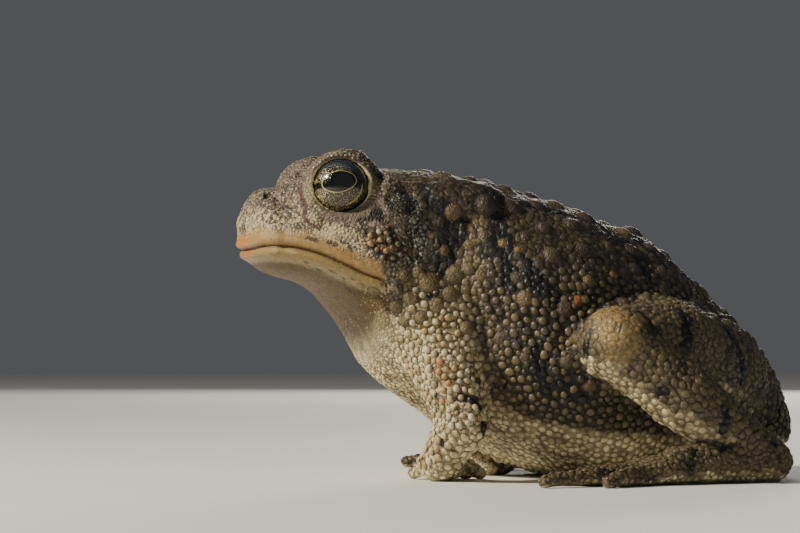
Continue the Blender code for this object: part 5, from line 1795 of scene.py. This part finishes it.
class TOAD_OT_stage(bpy.types.Operator):
    """Make the pale floor, the soft lights and the camera"""

    bl_idname = "toad.stage"
    bl_label = "Stage"

    def execute(self, context):
        settings, scene = context.scene.toad_stage, context.scene
        shape = bmesh.new()
        bmesh.ops.create_grid(shape, x_segments=8, y_segments=8, size=FLOOR_SIZE)
        bmesh.ops.translate(shape, vec=(0.0, 0.0, -FLOOR_DROP * MM), verts=shape.verts)
        mesh = mesh_from("floor", shape)
        mesh.materials.append(floor_finish(settings.floor_colour))
        new_object("floor", mesh)
        aim = np.array(TARGET) * MM + SHIFT
        for name, place, size, power, colour in LIGHTING:
            data = bpy.data.lights.new(name, "AREA")
            data.shape, data.size, data.energy, data.color = "DISK", size, settings.key_power * power, colour
            aimed(name, data, place, aim)
        world = bpy.data.worlds.new("studio")
        world.use_nodes = True
        world.node_tree.nodes["Background"].inputs["Color"].default_value = WORLD_COLOUR
        world.node_tree.nodes["Background"].inputs["Strength"].default_value = WORLD_STRENGTH
        scene.world = world
        data = bpy.data.cameras.new("camera")
        data.lens, data.sensor_width, data.clip_start = settings.lens, SENSOR_WIDTH, CLIP_START
        turn = math.radians(CAMERA_TURN)
        place = np.array(TARGET) + CAMERA_REACH * np.array((math.sin(turn), -math.cos(turn), 0.0))
        place[2] = CAMERA_HEIGHT
        scene.camera = aimed("camera", data, Vector(place * MM + SHIFT), aim)
        return {"FINISHED"}


class TOAD_PT_panel(bpy.types.Panel):
    bl_label = "American Toad"
    bl_space_type = "VIEW_3D"
    bl_region_type = "UI"
    bl_category = "Toad"

    def draw(self, context):
        for name, (group, operator) in SECTIONS.items():
            box = self.layout.box()
            for setting in group.__annotations__:
                box.prop(getattr(context.scene, name), setting)
            box.operator(operator.bl_idname)


SECTIONS = {
    "toad_skin": (SkinSettings, TOAD_OT_skin),
    "toad_beads": (BeadSettings, TOAD_OT_beads),
    "toad_eyes": (EyeSettings, TOAD_OT_eyes),
    "toad_stage": (StageSettings, TOAD_OT_stage),
}
CLASSES = [*(cls for pair in SECTIONS.values() for cls in pair), TOAD_PT_panel]


def register():
    for cls in CLASSES:
        bpy.utils.register_class(cls)
    for name, (group, _) in SECTIONS.items():
        setattr(bpy.types.Scene, name, PointerProperty(type=group))


def unregister():
    for name in SECTIONS:
        delattr(bpy.types.Scene, name)
    for cls in reversed(CLASSES):
        bpy.utils.unregister_class(cls)


def main():
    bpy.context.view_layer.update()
    register()
    bpy.ops.toad.skin()
    bpy.ops.toad.beads()
    bpy.ops.toad.eyes()
    bpy.ops.toad.stage()


if __name__ == "__main__":
    main()
